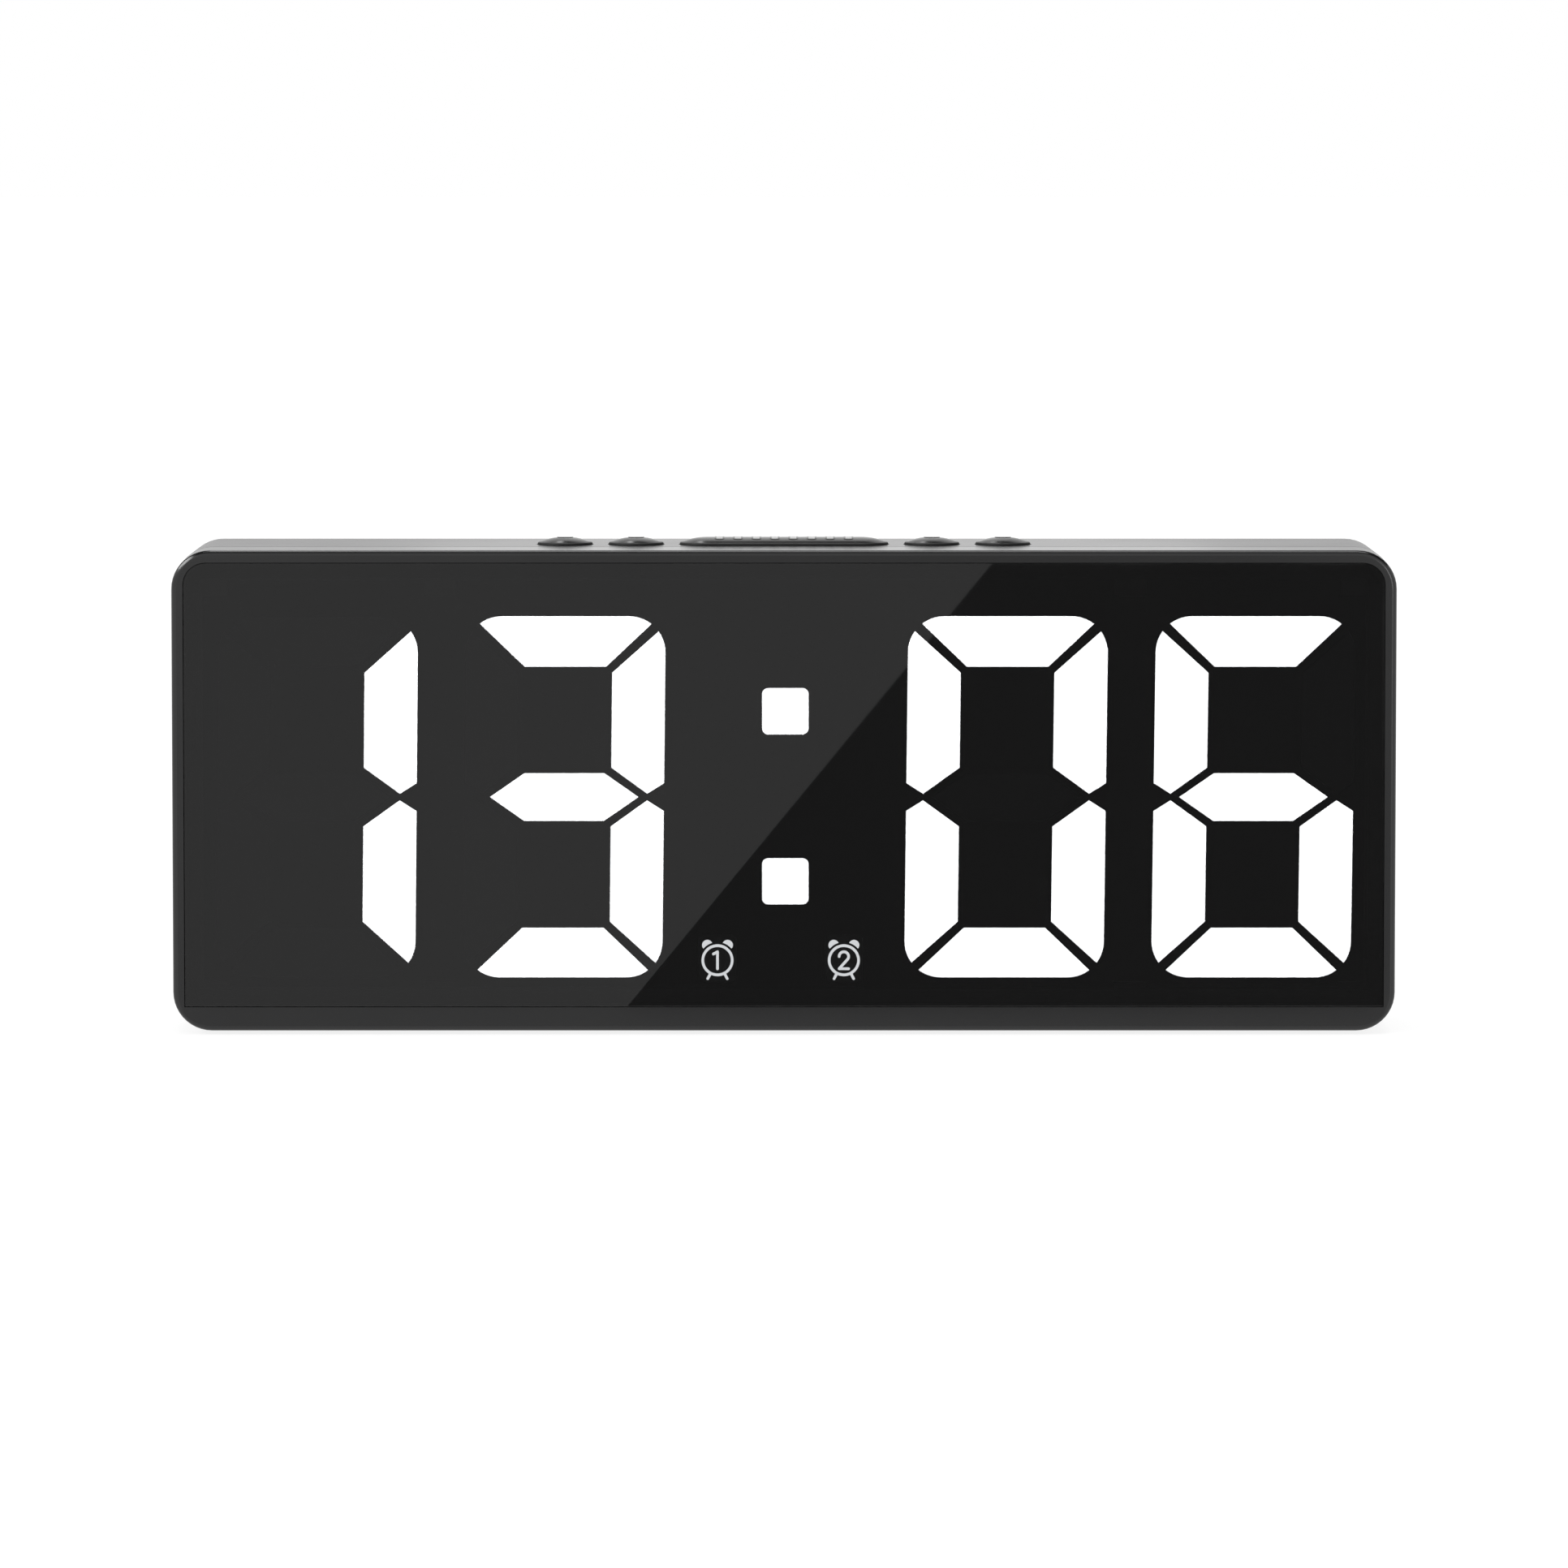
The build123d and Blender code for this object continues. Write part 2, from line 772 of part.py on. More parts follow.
# Power board, buzzer, filter capacitor and feet
power_center_x = body_width / 2 - power_side_inset
power_board_floor_z = case_floor_z + power_board_height
power_board_top_z = power_board_floor_z + power_board_thickness
power_board_rear_y = shell_inner_y - power_board_gap
power_board_mid_y = power_board_rear_y - power_board_depth / 2
power_post_y = power_board_rear_y - power_post_inset
power_screws = [(power_center_x + side * power_post_spacing / 2, power_post_y) for side in (-1, 1)]
socket_mid_z = power_board_top_z + socket_height / 2
socket_rear_y = rear_y - socket_set_in
socket_front_y = socket_rear_y - socket_length
buzzer_x = body_width / 2 - buzzer_side_inset
buzzer_place = (buzzer_x, case_mid_z)
capacitor_x = body_width / 2 - capacitor_side_inset
foot_x = body_width / 2 - foot_side_inset
foot_places = [
    (x, y)
    for x in (-foot_x, foot_x)
    for y in (parting_y + foot_front_inset, rear_y - foot_rear_inset)
]

# Rear shell: walls and lip, screw wells, battery bay, key holes and the mounts inside
with BuildPart() as rear_shell:
    with BuildSketch(facing(parting_y + shell_rim)):
        with Locations((0, case_mid_z)):
            RectangleRounded(body_width, body_height, corner_radius)
    extrude(amount=shell_rim)
    chamfer(rear_shell.edges().group_by(Axis.Y)[0], parting_chamfer)
    # Behind its rim the shell draws in at the sides, so that it leaves its mould
    for section_y, draft in ((parting_y + shell_rim, 0), (rear_y, shell_side_draft)):
        with BuildSketch(facing(section_y)):
            with Locations((0, case_mid_z)):
                RectangleRounded(body_width - 2 * draft, body_height, corner_radius)
    loft()
    fillet(rear_shell.edges().group_by(Axis.Y)[-1], rear_edge_radius)
    with BuildSketch(facing(shell_inner_y)):
        with Locations((0, case_mid_z)):
            RectangleRounded(
                body_width - 2 * shell_wall, body_height - 2 * shell_wall, corner_radius - shell_wall,
            )
    extrude(amount=shell_inner_y - parting_y, mode=Mode.SUBTRACT)
    # The lip reaches into the front frame, and stops at its bosses
    with BuildSketch(facing(parting_y + lip_root)):
        with Locations((0, case_mid_z)):
            RectangleRounded(
                body_width - 2 * (frame_side_wall + fit_gap),
                body_height - 2 * (frame_end_wall + fit_gap),
                corner_radius - frame_side_wall - fit_gap,
            )
            RectangleRounded(
                body_width - 2 * (frame_side_wall + fit_gap + lip_thickness),
                body_height - 2 * (frame_end_wall + fit_gap + lip_thickness),
                corner_radius - frame_side_wall - fit_gap - lip_thickness,
                mode=Mode.SUBTRACT,
            )
        add(lip_notches, mode=Mode.SUBTRACT)
    extrude(amount=lip_root + lip_reach)
    # Wells for the case screws
    with BuildSketch(facing(well_front_y)):
        with Locations(*corner_bosses):
            Circle(well_radius)
    extrude(amount=-(rear_y - shell_wall / 2 - well_front_y))
    with BuildSketch(facing(rear_y)):
        with Locations(*corner_bosses):
            Circle(screw_head_radius + moving_gap)
    extrude(amount=rear_y - well_seat_y, mode=Mode.SUBTRACT)
    with BuildSketch(facing(rear_y)):
        with Locations(*corner_bosses):
            Circle(screw_radius + fit_gap)
    extrude(amount=rear_y - well_front_y, mode=Mode.SUBTRACT)
    # Battery bay with a collar that carries the door's seat
    with BuildSketch(facing(bay_floor_y - bay_floor)):
        with Locations((bay_center_x, case_mid_z)):
            Rectangle(bay_length + 2 * bay_wall, bay_height + 2 * bay_wall)
    extrude(amount=-(rear_y - shell_wall / 2 - bay_floor_y + bay_floor))
    with BuildSketch(facing(door_seat_y - collar_thickness)):
        with Locations((bay_center_x, case_mid_z)):
            Rectangle(bay_length + 2 * collar_width, bay_height + 2 * collar_width)
    extrude(amount=-(rear_y - shell_wall / 2 - door_seat_y + collar_thickness))
    with BuildSketch(facing(rear_y)):
        with Locations((bay_center_x, case_mid_z)):
            Rectangle(bay_length, bay_height)
    extrude(amount=rear_y - bay_floor_y, mode=Mode.SUBTRACT)
    with BuildSketch(facing(rear_y)):
        with Locations((bay_center_x, case_mid_z)):
            RectangleRounded(
                door_width + 2 * moving_gap, door_height + 2 * moving_gap, door_corner_radius + moving_gap,
            )
    extrude(amount=rear_y - door_seat_y, mode=Mode.SUBTRACT)
    # Pockets that the door's tabs swing in, behind the wall's lower edge
    tab_pocket_front_y = door_inner_y - door_tab_reach
    tab_pocket_rear_y = door_inner_y + door_tab_thickness + door_tab_gap
    tab_pocket_floor_z = door_floor_z - door_tab_reach - moving_gap
    tab_pocket_top_z = door_floor_z + door_overlap / 2
    with BuildSketch(facing(tab_pocket_rear_y)):
        with Locations(*[(x, (tab_pocket_floor_z + tab_pocket_top_z) / 2) for x in tab_places]):
            Rectangle(door_tab_width + 2 * moving_gap, tab_pocket_top_z - tab_pocket_floor_z)
    extrude(amount=tab_pocket_rear_y - tab_pocket_front_y, mode=Mode.SUBTRACT)
    # Notch for the door's latch
    latch_notch_floor_z = case_mid_z + bay_height / 2
    latch_notch_top_z = door_top_z + moving_gap
    with BuildSketch(facing(door_seat_y)):
        with Locations((bay_center_x, (latch_notch_floor_z + latch_notch_top_z) / 2)):
            Rectangle(latch_width + 2 * moving_gap, latch_notch_top_z - latch_notch_floor_z)
    extrude(amount=door_seat_y - latch_front_y + 2 * moving_gap, mode=Mode.SUBTRACT)
    # Slots in the bay's ends for the solder tags
    with BuildSketch(facing(tag_y + contact_thickness + tag_slot_gap)):
        with Locations(
            (bay_start_x - bay_wall / 2, cell_heights[0]),
            (bay_end_x + bay_wall / 2, cell_heights[-1]),
        ):
            Rectangle(bay_wall + fit_gap, tag_width + 2 * tag_slot_gap)
    extrude(amount=contact_thickness + 2 * tag_slot_gap, mode=Mode.SUBTRACT)
    # Key holes through the top wall
    with BuildSketch(level(case_top_z)):
        with Locations(*[(x, 0) for name, x in key_places.items() if name != "snooze"]):
            Circle(key_diameter / 2 + key_gap)
        SlotOverall(snooze_length + 2 * key_gap, key_diameter + 2 * key_gap)
    extrude(amount=-shell_wall - fit_gap, mode=Mode.SUBTRACT)
    # Bosses that hold the key board under the top wall
    with BuildSketch(level(key_board_top_z)):
        with Locations(*key_screws):
            Circle(boss_radius)
    extrude(amount=case_top_z - shell_wall / 2 - key_board_top_z)
    with BuildSketch(level(key_board_top_z)):
        with Locations(*key_screws):
            Circle(pilot_radius)
    extrude(amount=case_top_z - shell_wall - key_board_top_z, mode=Mode.SUBTRACT)
    # Posts that hold the power board above the floor
    with BuildSketch(level(case_floor_z + shell_wall / 2)):
        with Locations(*power_screws):
            Circle(power_post_radius)
    extrude(amount=power_board_height - shell_wall / 2)
    with BuildSketch(level(power_board_floor_z)):
        with Locations(*power_screws):
            Circle(pilot_radius)
    extrude(amount=-(power_board_height - shell_wall), mode=Mode.SUBTRACT)
    # Window for the power socket
    with BuildSketch(facing(rear_y)):
        with Locations((power_center_x, socket_mid_z)):
            SlotOverall(socket_width + 2 * socket_window_gap, socket_height + 2 * socket_window_gap)
    extrude(amount=shell_wall + fit_gap, mode=Mode.SUBTRACT)
    # Collar of the buzzer and the sound holes behind it
    with BuildSketch(facing(shell_inner_y + shell_wall / 2)):
        with Locations(buzzer_place):
            Circle(buzzer_radius + fit_gap + buzzer_collar_wall)
            Circle(buzzer_radius + fit_gap, mode=Mode.SUBTRACT)
    extrude(amount=shell_wall / 2 + buzzer_collar_height)
    with BuildSketch(facing(rear_y)):
        with Locations(buzzer_place):
            Circle(grille_hole_radius)
            with PolarLocations(grille_circle_radius, grille_hole_count):
                Circle(grille_hole_radius)
    extrude(amount=shell_wall + fit_gap, mode=Mode.SUBTRACT)
    # Recesses for the feet
    with BuildSketch(level(case_floor_z)):
        with Locations(*foot_places):
            Circle(foot_radius + fit_gap)
    extrude(amount=foot_thickness - foot_standoff, mode=Mode.SUBTRACT)

# Battery door: a plate with two tabs under the wall's lower edge and a latch at the top
with BuildPart() as battery_door:
    with BuildSketch(facing(rear_y)):
        with Locations((bay_center_x, case_mid_z)):
            RectangleRounded(door_width, door_height, door_corner_radius)
    extrude(amount=door_thickness)
    chamfer(battery_door.edges().group_by(Axis.Y)[-1], door_chamfer)
    with BuildSketch(facing(door_inner_y + door_tab_thickness)):
        with Locations(*[(x, door_floor_z) for x in tab_places]):
            Rectangle(door_tab_width, 2 * door_tab_reach)
    extrude(amount=door_tab_thickness)
    with BuildSketch(facing(door_inner_y)):
        with Locations((bay_center_x, latch_top_z - latch_hook - latch_thickness / 2)):
            Rectangle(latch_width, latch_thickness)
    extrude(amount=latch_length)
    with BuildSketch(facing(latch_front_y + latch_thickness)):
        with Locations((bay_center_x, latch_top_z - latch_hook)):
            Rectangle(latch_width, 2 * latch_hook)
    extrude(amount=latch_thickness)
    with BuildSketch(facing(rear_y)):
        with Locations((bay_center_x, door_top_z - thumb_groove_inset)):
            with GridLocations(0, thumb_groove_pitch, 1, thumb_groove_count):
                SlotOverall(thumb_groove_length, thumb_groove_width)
    extrude(amount=thumb_groove_depth, mode=Mode.SUBTRACT)

# Screws: a pan head with a cross slot, over a plain shank


def screws_from_rear(seat_y, places, length):
    """Screws that go in from the rear, with their heads on seat_y."""
    with BuildPart() as screws:
        with BuildSketch(facing(seat_y)):
            with Locations(*places):
                Circle(screw_head_radius)
        extrude(amount=-screw_head_height)
        fillet(screws.edges().group_by(Axis.Y)[-1], screw_head_edge_radius)
        with BuildSketch(facing(seat_y)):
            with Locations(*places):
                Circle(screw_radius)
        extrude(amount=length)
        with BuildSketch(facing(seat_y + screw_head_height)):
            with Locations(*places):
                Rectangle(screw_slot_length, screw_slot_width)
                Rectangle(screw_slot_width, screw_slot_length)
        extrude(amount=screw_slot_depth, mode=Mode.SUBTRACT)
    return screws


def upright_screws(seat_z, places, length, up):
    """Screws along Z with their heads on seat_z; up is 1 with the head on top and -1 below."""
    with BuildPart() as screws:
        with BuildSketch(level(seat_z)):
            with Locations(*places):
                Circle(screw_head_radius)
        extrude(amount=up * screw_head_height)
        fillet(screws.edges().group_by(Axis.Z)[-1 if up > 0 else 0], screw_head_edge_radius)
        with BuildSketch(level(seat_z)):
            with Locations(*places):
                Circle(screw_radius)
        extrude(amount=-up * length)
        with BuildSketch(level(seat_z + up * screw_head_height)):
            with Locations(*places):
                Rectangle(screw_slot_length, screw_slot_width)
                Rectangle(screw_slot_width, screw_slot_length)
        extrude(amount=-up * screw_slot_depth, mode=Mode.SUBTRACT)
    return screws


case_screws = screws_from_rear(well_seat_y, corner_bosses, case_screw_length)
board_screws = screws_from_rear(board_rear_y, display_bosses, board_screw_length)
key_board_screws = upright_screws(key_board_floor_z, key_screws, small_screw_length, -1)
power_board_screws = upright_screws(power_board_top_z, power_screws, small_screw_length, 1)

# Battery cells: the lowest and highest point right, the middle one left
cells = {}
for row, cell_z in enumerate(cell_heights):
    points_right = row % 2 == 0
    sense = 1 if points_right else -1
    start_x = bay_center_x - sense * cell_length / 2
    with BuildPart() as cells[row]:
        with BuildSketch(across(start_x)):
            with Locations((cell_center_y, cell_z)):
                Circle(cell_diameter / 2)
        extrude(amount=sense * (cell_length - cell_button_height))
        fillet(cells[row].edges().filter_by(GeomType.CIRCLE), cell_edge_radius)
        with BuildSketch(across(start_x + sense * (cell_length - cell_button_height))):
            with Locations((cell_center_y, cell_z)):
                Circle(cell_button_radius)
        extrude(amount=sense * cell_button_height)

# Battery contacts: sprung coils at the flat ends, pressed bumps at the buttons
contact_reach = contact_room - contact_thickness - fit_gap


def coil_path(end_x, sense, cell_z):
    """Coil that runs from a plate at end_x towards the cell, drawn in as it goes."""
    height = contact_reach - spring_wire / 2
    coil = Helix(height / spring_turns, height, spring_base_radius, cone_angle=-spring_taper)
    seat = Plane(origin=(end_x, cell_center_y, cell_z), x_dir=(0, 0, 1), z_dir=(sense, 0, 0))
    return seat.from_local_coords(coil)


def contact(end_x, sense, springs, bumps, tag=False):
    """A plate on the bay's end wall with its coils and bumps, and a solder tag if it needs one."""
    heights = sorted(springs + bumps)
    plate_z = (heights[0] + heights[-1]) / 2
    plate_height = heights[-1] - heights[0] + contact_plate
    plate_x = end_x + sense * contact_thickness
    with BuildPart() as piece:
        with BuildSketch(across(end_x)):
            with Locations((cell_center_y, plate_z)):
                Rectangle(contact_plate, plate_height)
        extrude(amount=sense * contact_thickness)
        for cell_z in bumps:
            with BuildSketch(across(plate_x)):
                with Locations((cell_center_y, cell_z)):
                    Circle(bump_base_radius)
            with BuildSketch(across(plate_x + sense * contact_reach)):
                with Locations((cell_center_y, cell_z)):
                    Circle(bump_tip_radius)
            loft()
        for cell_z in springs:
            path = coil_path(plate_x, sense, cell_z)
            with BuildSketch(Plane(origin=path @ 0, z_dir=path % 0)):
                Circle(spring_wire / 2)
            sweep(path=path, is_frenet=True)
        if tag:
            tag_z = heights[0] if sense > 0 else heights[-1]
            tag_length = contact_thickness + bay_wall + tag_reach
            with BuildSketch(facing(tag_y)):
                with Locations((plate_x - sense * tag_length / 2, tag_z)):
                    Rectangle(tag_length, tag_width)
            extrude(amount=-contact_thickness)
    return piece


low_z, middle_z, high_z = cell_heights
contact_minus = contact(bay_start_x, 1, [low_z], [], tag=True)
contact_link_left = contact(bay_start_x, 1, [high_z], [middle_z])
contact_link_right = contact(bay_end_x, -1, [middle_z], [low_z])
contact_plus = contact(bay_end_x, -1, [], [high_z], tag=True)

# Leads: straight runs joined by arcs


def routed(points):
    """The smooth line of a lead through these points, with arcs as large as its runs allow."""
    with BuildLine() as line:
        corners = [Vector(*point) for point in points]
        radii = []
        for before, corner, after in zip(corners, corners[1:], corners[2:]):
            shorter = min((corner - before).length, (after - corner).length)
            half_turn = (corner - before).get_angle(after - corner) / 2
            radii.append(bend_share * shorter / tan_of(half_turn))
        FilletPolyline(*points, radius=radii)
    wire = line.wires()[0]
    print("lead radii", [round(radius, 2) for radius in radii], "length", round(wire.length, 2))
    return wire


def tan_of(degrees):
    """The tangent of an angle in degrees."""
    leg = Vector(1, 0, 0).rotate(Axis.Z, degrees)
    return leg.Y / leg.X


def round_lead(*routes):
    """Round leads along one or more routes, in one part."""
    with BuildPart() as lead:
        for route in routes:
            path = routed(route)
            with BuildSketch(Plane(origin=path @ 0, z_dir=path % 0)):
                Circle(lead_diameter / 2)
            sweep(path=path)
    return lead


def stepped_route(x, start_y, z, drop):
    """From start_y to the main board's rear, with a step of this drop on the way."""
    step_y = (start_y + board_rear_y) / 2
    return [(x, start_y, z), (x, step_y, z), (x, step_y, z + drop), (x, board_rear_y, z + drop)]


tag_middle = bay_wall + tag_reach / 2
battery_lead_red = round_lead(stepped_route(bay_end_x + tag_middle, tag_y, high_z, -lead_drop))
battery_lead_black = round_lead(stepped_route(bay_start_x - tag_middle, tag_y, low_z, lead_drop))
buzzer_front_y = shell_inner_y - buzzer_height
buzzer_leads = round_lead(
    *[
        stepped_route(buzzer_x + side * buzzer_lead_spacing / 2, buzzer_front_y, case_mid_z, -lead_drop)
        for side in (-1, 1)
    ]
)
power_lead_y = power_board_mid_y - power_board_depth / 2 + power_lead_inset
power_lead_top_z = power_board_top_z + power_lead_rise
power_leads = round_lead(
    *[
        [
            (power_center_x + side * power_lead_spacing / 2, power_lead_y, power_board_top_z),
            (power_center_x + side * power_lead_spacing / 2, power_lead_y, power_lead_top_z),
            (power_center_x + side * power_lead_spacing / 2, board_rear_y, power_lead_top_z),
        ]
        for side in (-1, 1)
    ]
)

# Flat lead from the key board to the main board
ribbon_end_z = key_board_floor_z - ribbon_drop
with BuildPart() as key_board_lead:
    ribbon_path = routed(
        [(0, ribbon_y, key_board_floor_z), (0, ribbon_y, ribbon_end_z), (0, board_rear_y, ribbon_end_z)]
    )
    with BuildSketch(Plane(origin=ribbon_path @ 0, x_dir=(1, 0, 0), z_dir=ribbon_path % 0)):
        Rectangle(ribbon_width, ribbon_thickness)
    sweep(path=ribbon_path)

# Keys: a domed cap through the top wall, a flange that keeps it in, and a stem on the plunger
key_radius = key_diameter / 2
key_crown_z = case_top_z + key_proud - key_mark_proud
with BuildSketch() as cap_section:
    with BuildLine():
        Polyline(
            (0, key_crown_z), (0, flange_floor_z), (key_radius, flange_floor_z),
            (key_radius, case_top_z + key_wall_proud),
        )
        TangentArc((0, key_crown_z), (key_radius, case_top_z + key_wall_proud), tangent=(1, 0))
    make_face()
    fillet(cap_section.vertices().group_by(Axis.X)[-1].sort_by(Axis.Y)[-1], key_edge_radius)


def cap_over(end_places):
    """A domed cap round one place along X, or a long one between two places."""
    with BuildPart() as cap:
        for end_x in end_places:
            with BuildSketch(across(end_x)):
                add(cap_section)
            revolve(axis=Axis((end_x, 0, 0), (0, 0, 1)))
        if len(end_places) > 1:
            with BuildSketch(across(end_places[0])):
                add(cap_section)
                mirror(about=Plane.YZ)
            extrude(amount=end_places[-1] - end_places[0])
    return cap.part


keys = {}
for name, key_x in key_places.items():
    is_long = name == "snooze"
    cap_ends = [key_radius - snooze_length / 2, snooze_length / 2 - key_radius] if is_long else [key_x]
    # Plain raised marks that follow the dome: a row of ribs on the long key and a disc on the others
    with BuildPart() as marks:
        with BuildSketch(level(flange_top_z)):
            with Locations((key_x, 0)):
                if is_long:
                    with GridLocations(snooze_mark_pitch, 0, snooze_mark_count, 1):
                        SlotOverall(snooze_mark_length, snooze_mark_width, rotation=90)
                else:
                    Circle(key_mark_radius)
        extrude(amount=case_top_z + key_proud - flange_top_z)
        add(Pos(0, 0, key_mark_proud) * cap_over(cap_ends), mode=Mode.INTERSECT)
    with BuildPart() as keys[name]:
        add(cap_over(cap_ends))
        add(marks.part)
        with BuildSketch(level(flange_floor_z)):
            with Locations((key_x, 0)):
                if is_long:
                    SlotOverall(snooze_length + 2 * key_flange_rim, key_diameter + 2 * key_flange_rim)
                else:
                    Circle(key_radius + key_flange_rim)
        extrude(amount=key_flange_thickness)
        with BuildSketch(level(flange_floor_z)):
            with Locations((key_x, 0)):
                Circle(key_stem_radius)
        extrude(amount=-key_stem_length)

# Switches under the keys: fixed bodies, and plungers that travel with the keys
with BuildPart() as switch_bodies:
    with BuildSketch(level(key_board_top_z)):
        with Locations(*[(x, 0) for x in key_places.values()]):
            RectangleRounded(switch_size, switch_size, switch_corner_radius)
    extrude(amount=switch_height)
    with BuildSketch(level(switch_top_z)):
        with Locations(*[(x, 0) for x in key_places.values()]):
            Circle(plunger_radius + plunger_fit)
    extrude(amount=-(plunger_engaged + key_travel + moving_gap), mode=Mode.SUBTRACT)

plungers = {}
for name, key_x in key_places.items():
    with BuildPart() as plungers[name]:
        with BuildSketch(level(switch_top_z - plunger_engaged)):
            with Locations((key_x, 0)):
                Circle(plunger_radius)
        extrude(amount=plunger_engaged + plunger_proud)

with BuildPart() as key_board:
    with BuildSketch(level(key_board_floor_z)):
        with Locations((0, (key_board_rear_reach - key_board_front_reach) / 2)):
            Rectangle(
                2 * (key_screw_x + key_board_end_margin), key_board_front_reach + key_board_rear_reach,
            )
        with Locations(*key_screws):
            Circle(screw_radius + fit_gap, mode=Mode.SUBTRACT)
    extrude(amount=key_board_thickness)

# Power board with its socket: a flat oval shell round a tongue
with BuildPart() as power_board:
    with BuildSketch(level(power_board_floor_z)):
        with Locations((power_center_x, power_board_mid_y)):
            Rectangle(power_post_spacing + 2 * power_board_end_margin, power_board_depth)
        with Locations(*power_screws):
            Circle(screw_radius + fit_gap, mode=Mode.SUBTRACT)
    extrude(amount=power_board_thickness)

with BuildPart() as usb_socket_shell:
    with BuildSketch(facing(socket_rear_y)):
        with Locations((power_center_x, socket_mid_z)):
            SlotOverall(socket_width, socket_height)
            SlotOverall(socket_width - 2 * socket_wall, socket_height - 2 * socket_wall, mode=Mode.SUBTRACT)
    extrude(amount=socket_length)

with BuildPart() as usb_socket_tongue:
    inset = 2 * (socket_wall + fit_gap)
    with BuildSketch(facing(socket_front_y + tongue_base)):
        with Locations((power_center_x, socket_mid_z)):
            SlotOverall(socket_width - inset, socket_height - inset)
    extrude(amount=tongue_base)
    with BuildSketch(facing(socket_front_y + tongue_base)):
        with Locations((power_center_x, socket_mid_z)):
            Rectangle(tongue_width, tongue_thickness)
    extrude(amount=-(tongue_length - tongue_base))

# Buzzer: a drum with its sound port to the rear
with BuildPart() as buzzer:
    with BuildSketch(facing(shell_inner_y)):
        with Locations(buzzer_place):
            Circle(buzzer_radius)
    extrude(amount=buzzer_height)
    with BuildSketch(facing(shell_inner_y)):
        with Locations(buzzer_place):
            Circle(buzzer_hole_radius)
    extrude(amount=buzzer_hole_depth, mode=Mode.SUBTRACT)

# Control chip with its legs, clock crystal and filter capacitor
with BuildPart() as control_chip:
    with BuildSketch(facing(board_rear_y + chip_seat)):
        with Locations((chip_x, case_mid_z)):
            Rectangle(chip_width, chip_length)
    extrude(amount=-chip_height)
    with BuildSketch(facing(board_rear_y)):
        with Locations((chip_x, case_mid_z)):
            with GridLocations(0, chip_leg_pitch, 1, chip_leg_count):
                Rectangle(chip_width + 2 * chip_leg_reach, chip_leg_width)
    extrude(amount=-(chip_seat + chip_leg_thickness))

crystal_top_z = case_mid_z - crystal_drop
with BuildPart() as clock_crystal:
    with BuildSketch(level(crystal_top_z)):
        with Locations((crystal_x, board_rear_y + crystal_radius + fit_gap)):
            Circle(crystal_radius)
    extrude(amount=-crystal_length)
    leg_mid_z = crystal_top_z - crystal_length - crystal_leg_length / 2
    with BuildSketch(facing(board_rear_y)):
        with Locations((crystal_x, leg_mid_z + crystal_leg_width / 2)):
            with GridLocations(crystal_leg_spacing, 0, 2, 1):
                Rectangle(crystal_leg_width, crystal_leg_length + crystal_leg_width)
    extrude(amount=-(crystal_radius + fit_gap))

with BuildPart() as filter_capacitor:
    with BuildSketch(facing(board_rear_y)):
        with Locations((capacitor_x, case_mid_z - capacitor_drop)):
            Circle(capacitor_radius)
    extrude(amount=-capacitor_height)
    fillet(filter_capacitor.edges().group_by(Axis.Y)[-1], capacitor_edge_radius)
    with BuildSketch(facing(board_rear_y + capacitor_groove_height)):
        with Locations((capacitor_x, case_mid_z - capacitor_drop)):
            Circle(capacitor_radius)
            Circle(capacitor_radius - capacitor_groove, mode=Mode.SUBTRACT)
    extrude(amount=-capacitor_groove_width, mode=Mode.SUBTRACT)

# Rubber feet in their recesses
with BuildPart() as foot_pads:
    with BuildSketch(level(0)):
        with Locations(*foot_places):
            Circle(foot_radius)
    extrude(amount=foot_thickness)
    fillet(foot_pads.edges().group_by(Axis.Z)[0], foot_edge_radius)

pieces = {
    "front_frame": front_frame,
    "front_lens": front_lens,
    "lens_tape": lens_tape,
    "rear_shell": rear_shell,
    "battery_door": battery_door,
    "display_mask": display_mask,
    "display_reflector": display_reflector,
    "unlit_segments": unlit_segments,
    "colon_dots": colon_dots,
    "main_board": main_board,
    "segment_leds": segment_leds,
    "control_chip": control_chip,
    "clock_crystal": clock_crystal,
    "filter_capacitor": filter_capacitor,
    "buzzer": buzzer,
    "buzzer_leads": buzzer_leads,
    "power_board": power_board,
    "power_leads": power_leads,
    "usb_socket_shell": usb_socket_shell,
    "usb_socket_tongue": usb_socket_tongue,
    "key_board": key_board,
    "key_board_lead": key_board_lead,
    "switch_bodies": switch_bodies,
    "lower_cell": cells[0],
    "middle_cell": cells[1],
    "upper_cell": cells[2],
    "contact_minus": contact_minus,
    "contact_plus": contact_plus,
    "contact_link_left": contact_link_left,
    "contact_link_right": contact_link_right,
    "battery_lead_red": battery_lead_red,
    "battery_lead_black": battery_lead_black,
    "case_screws": case_screws,
    "board_screws": board_screws,
    "key_board_screws": key_board_screws,
    "power_board_screws": power_board_screws,
    "foot_pads": foot_pads,
}
for name, segments in digit_bars.items():
    pieces[f"{name}_segments"] = segments
for number, icon in icons.items():
    pieces[f"alarm_{number}_icon"] = icon
for name in key_places:
    pieces[f"{name}_key"] = keys[name]
    pieces[f"{name}_plunger"] = plungers[name]

os.makedirs("parts", exist_ok=True)
for name, piece in pieces.items():
    piece.part.label = name
    export_step(piece.part, f"parts/{name}.step")
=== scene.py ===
# %% [markdown]
# This file dresses a small desk clock for its picture. Four large digits shine through a dark lens in
# a thin black case, and five domed keys stand a millimetre out of its top. The clock's solids come
# ready made from its CAD model, in metres, with X to the right, Y from front to back and Z up. We
# could model the case again here, but its walls and edges are already right, so we keep those
# solids, give each one a finish, and model only the small things that the solids leave out.

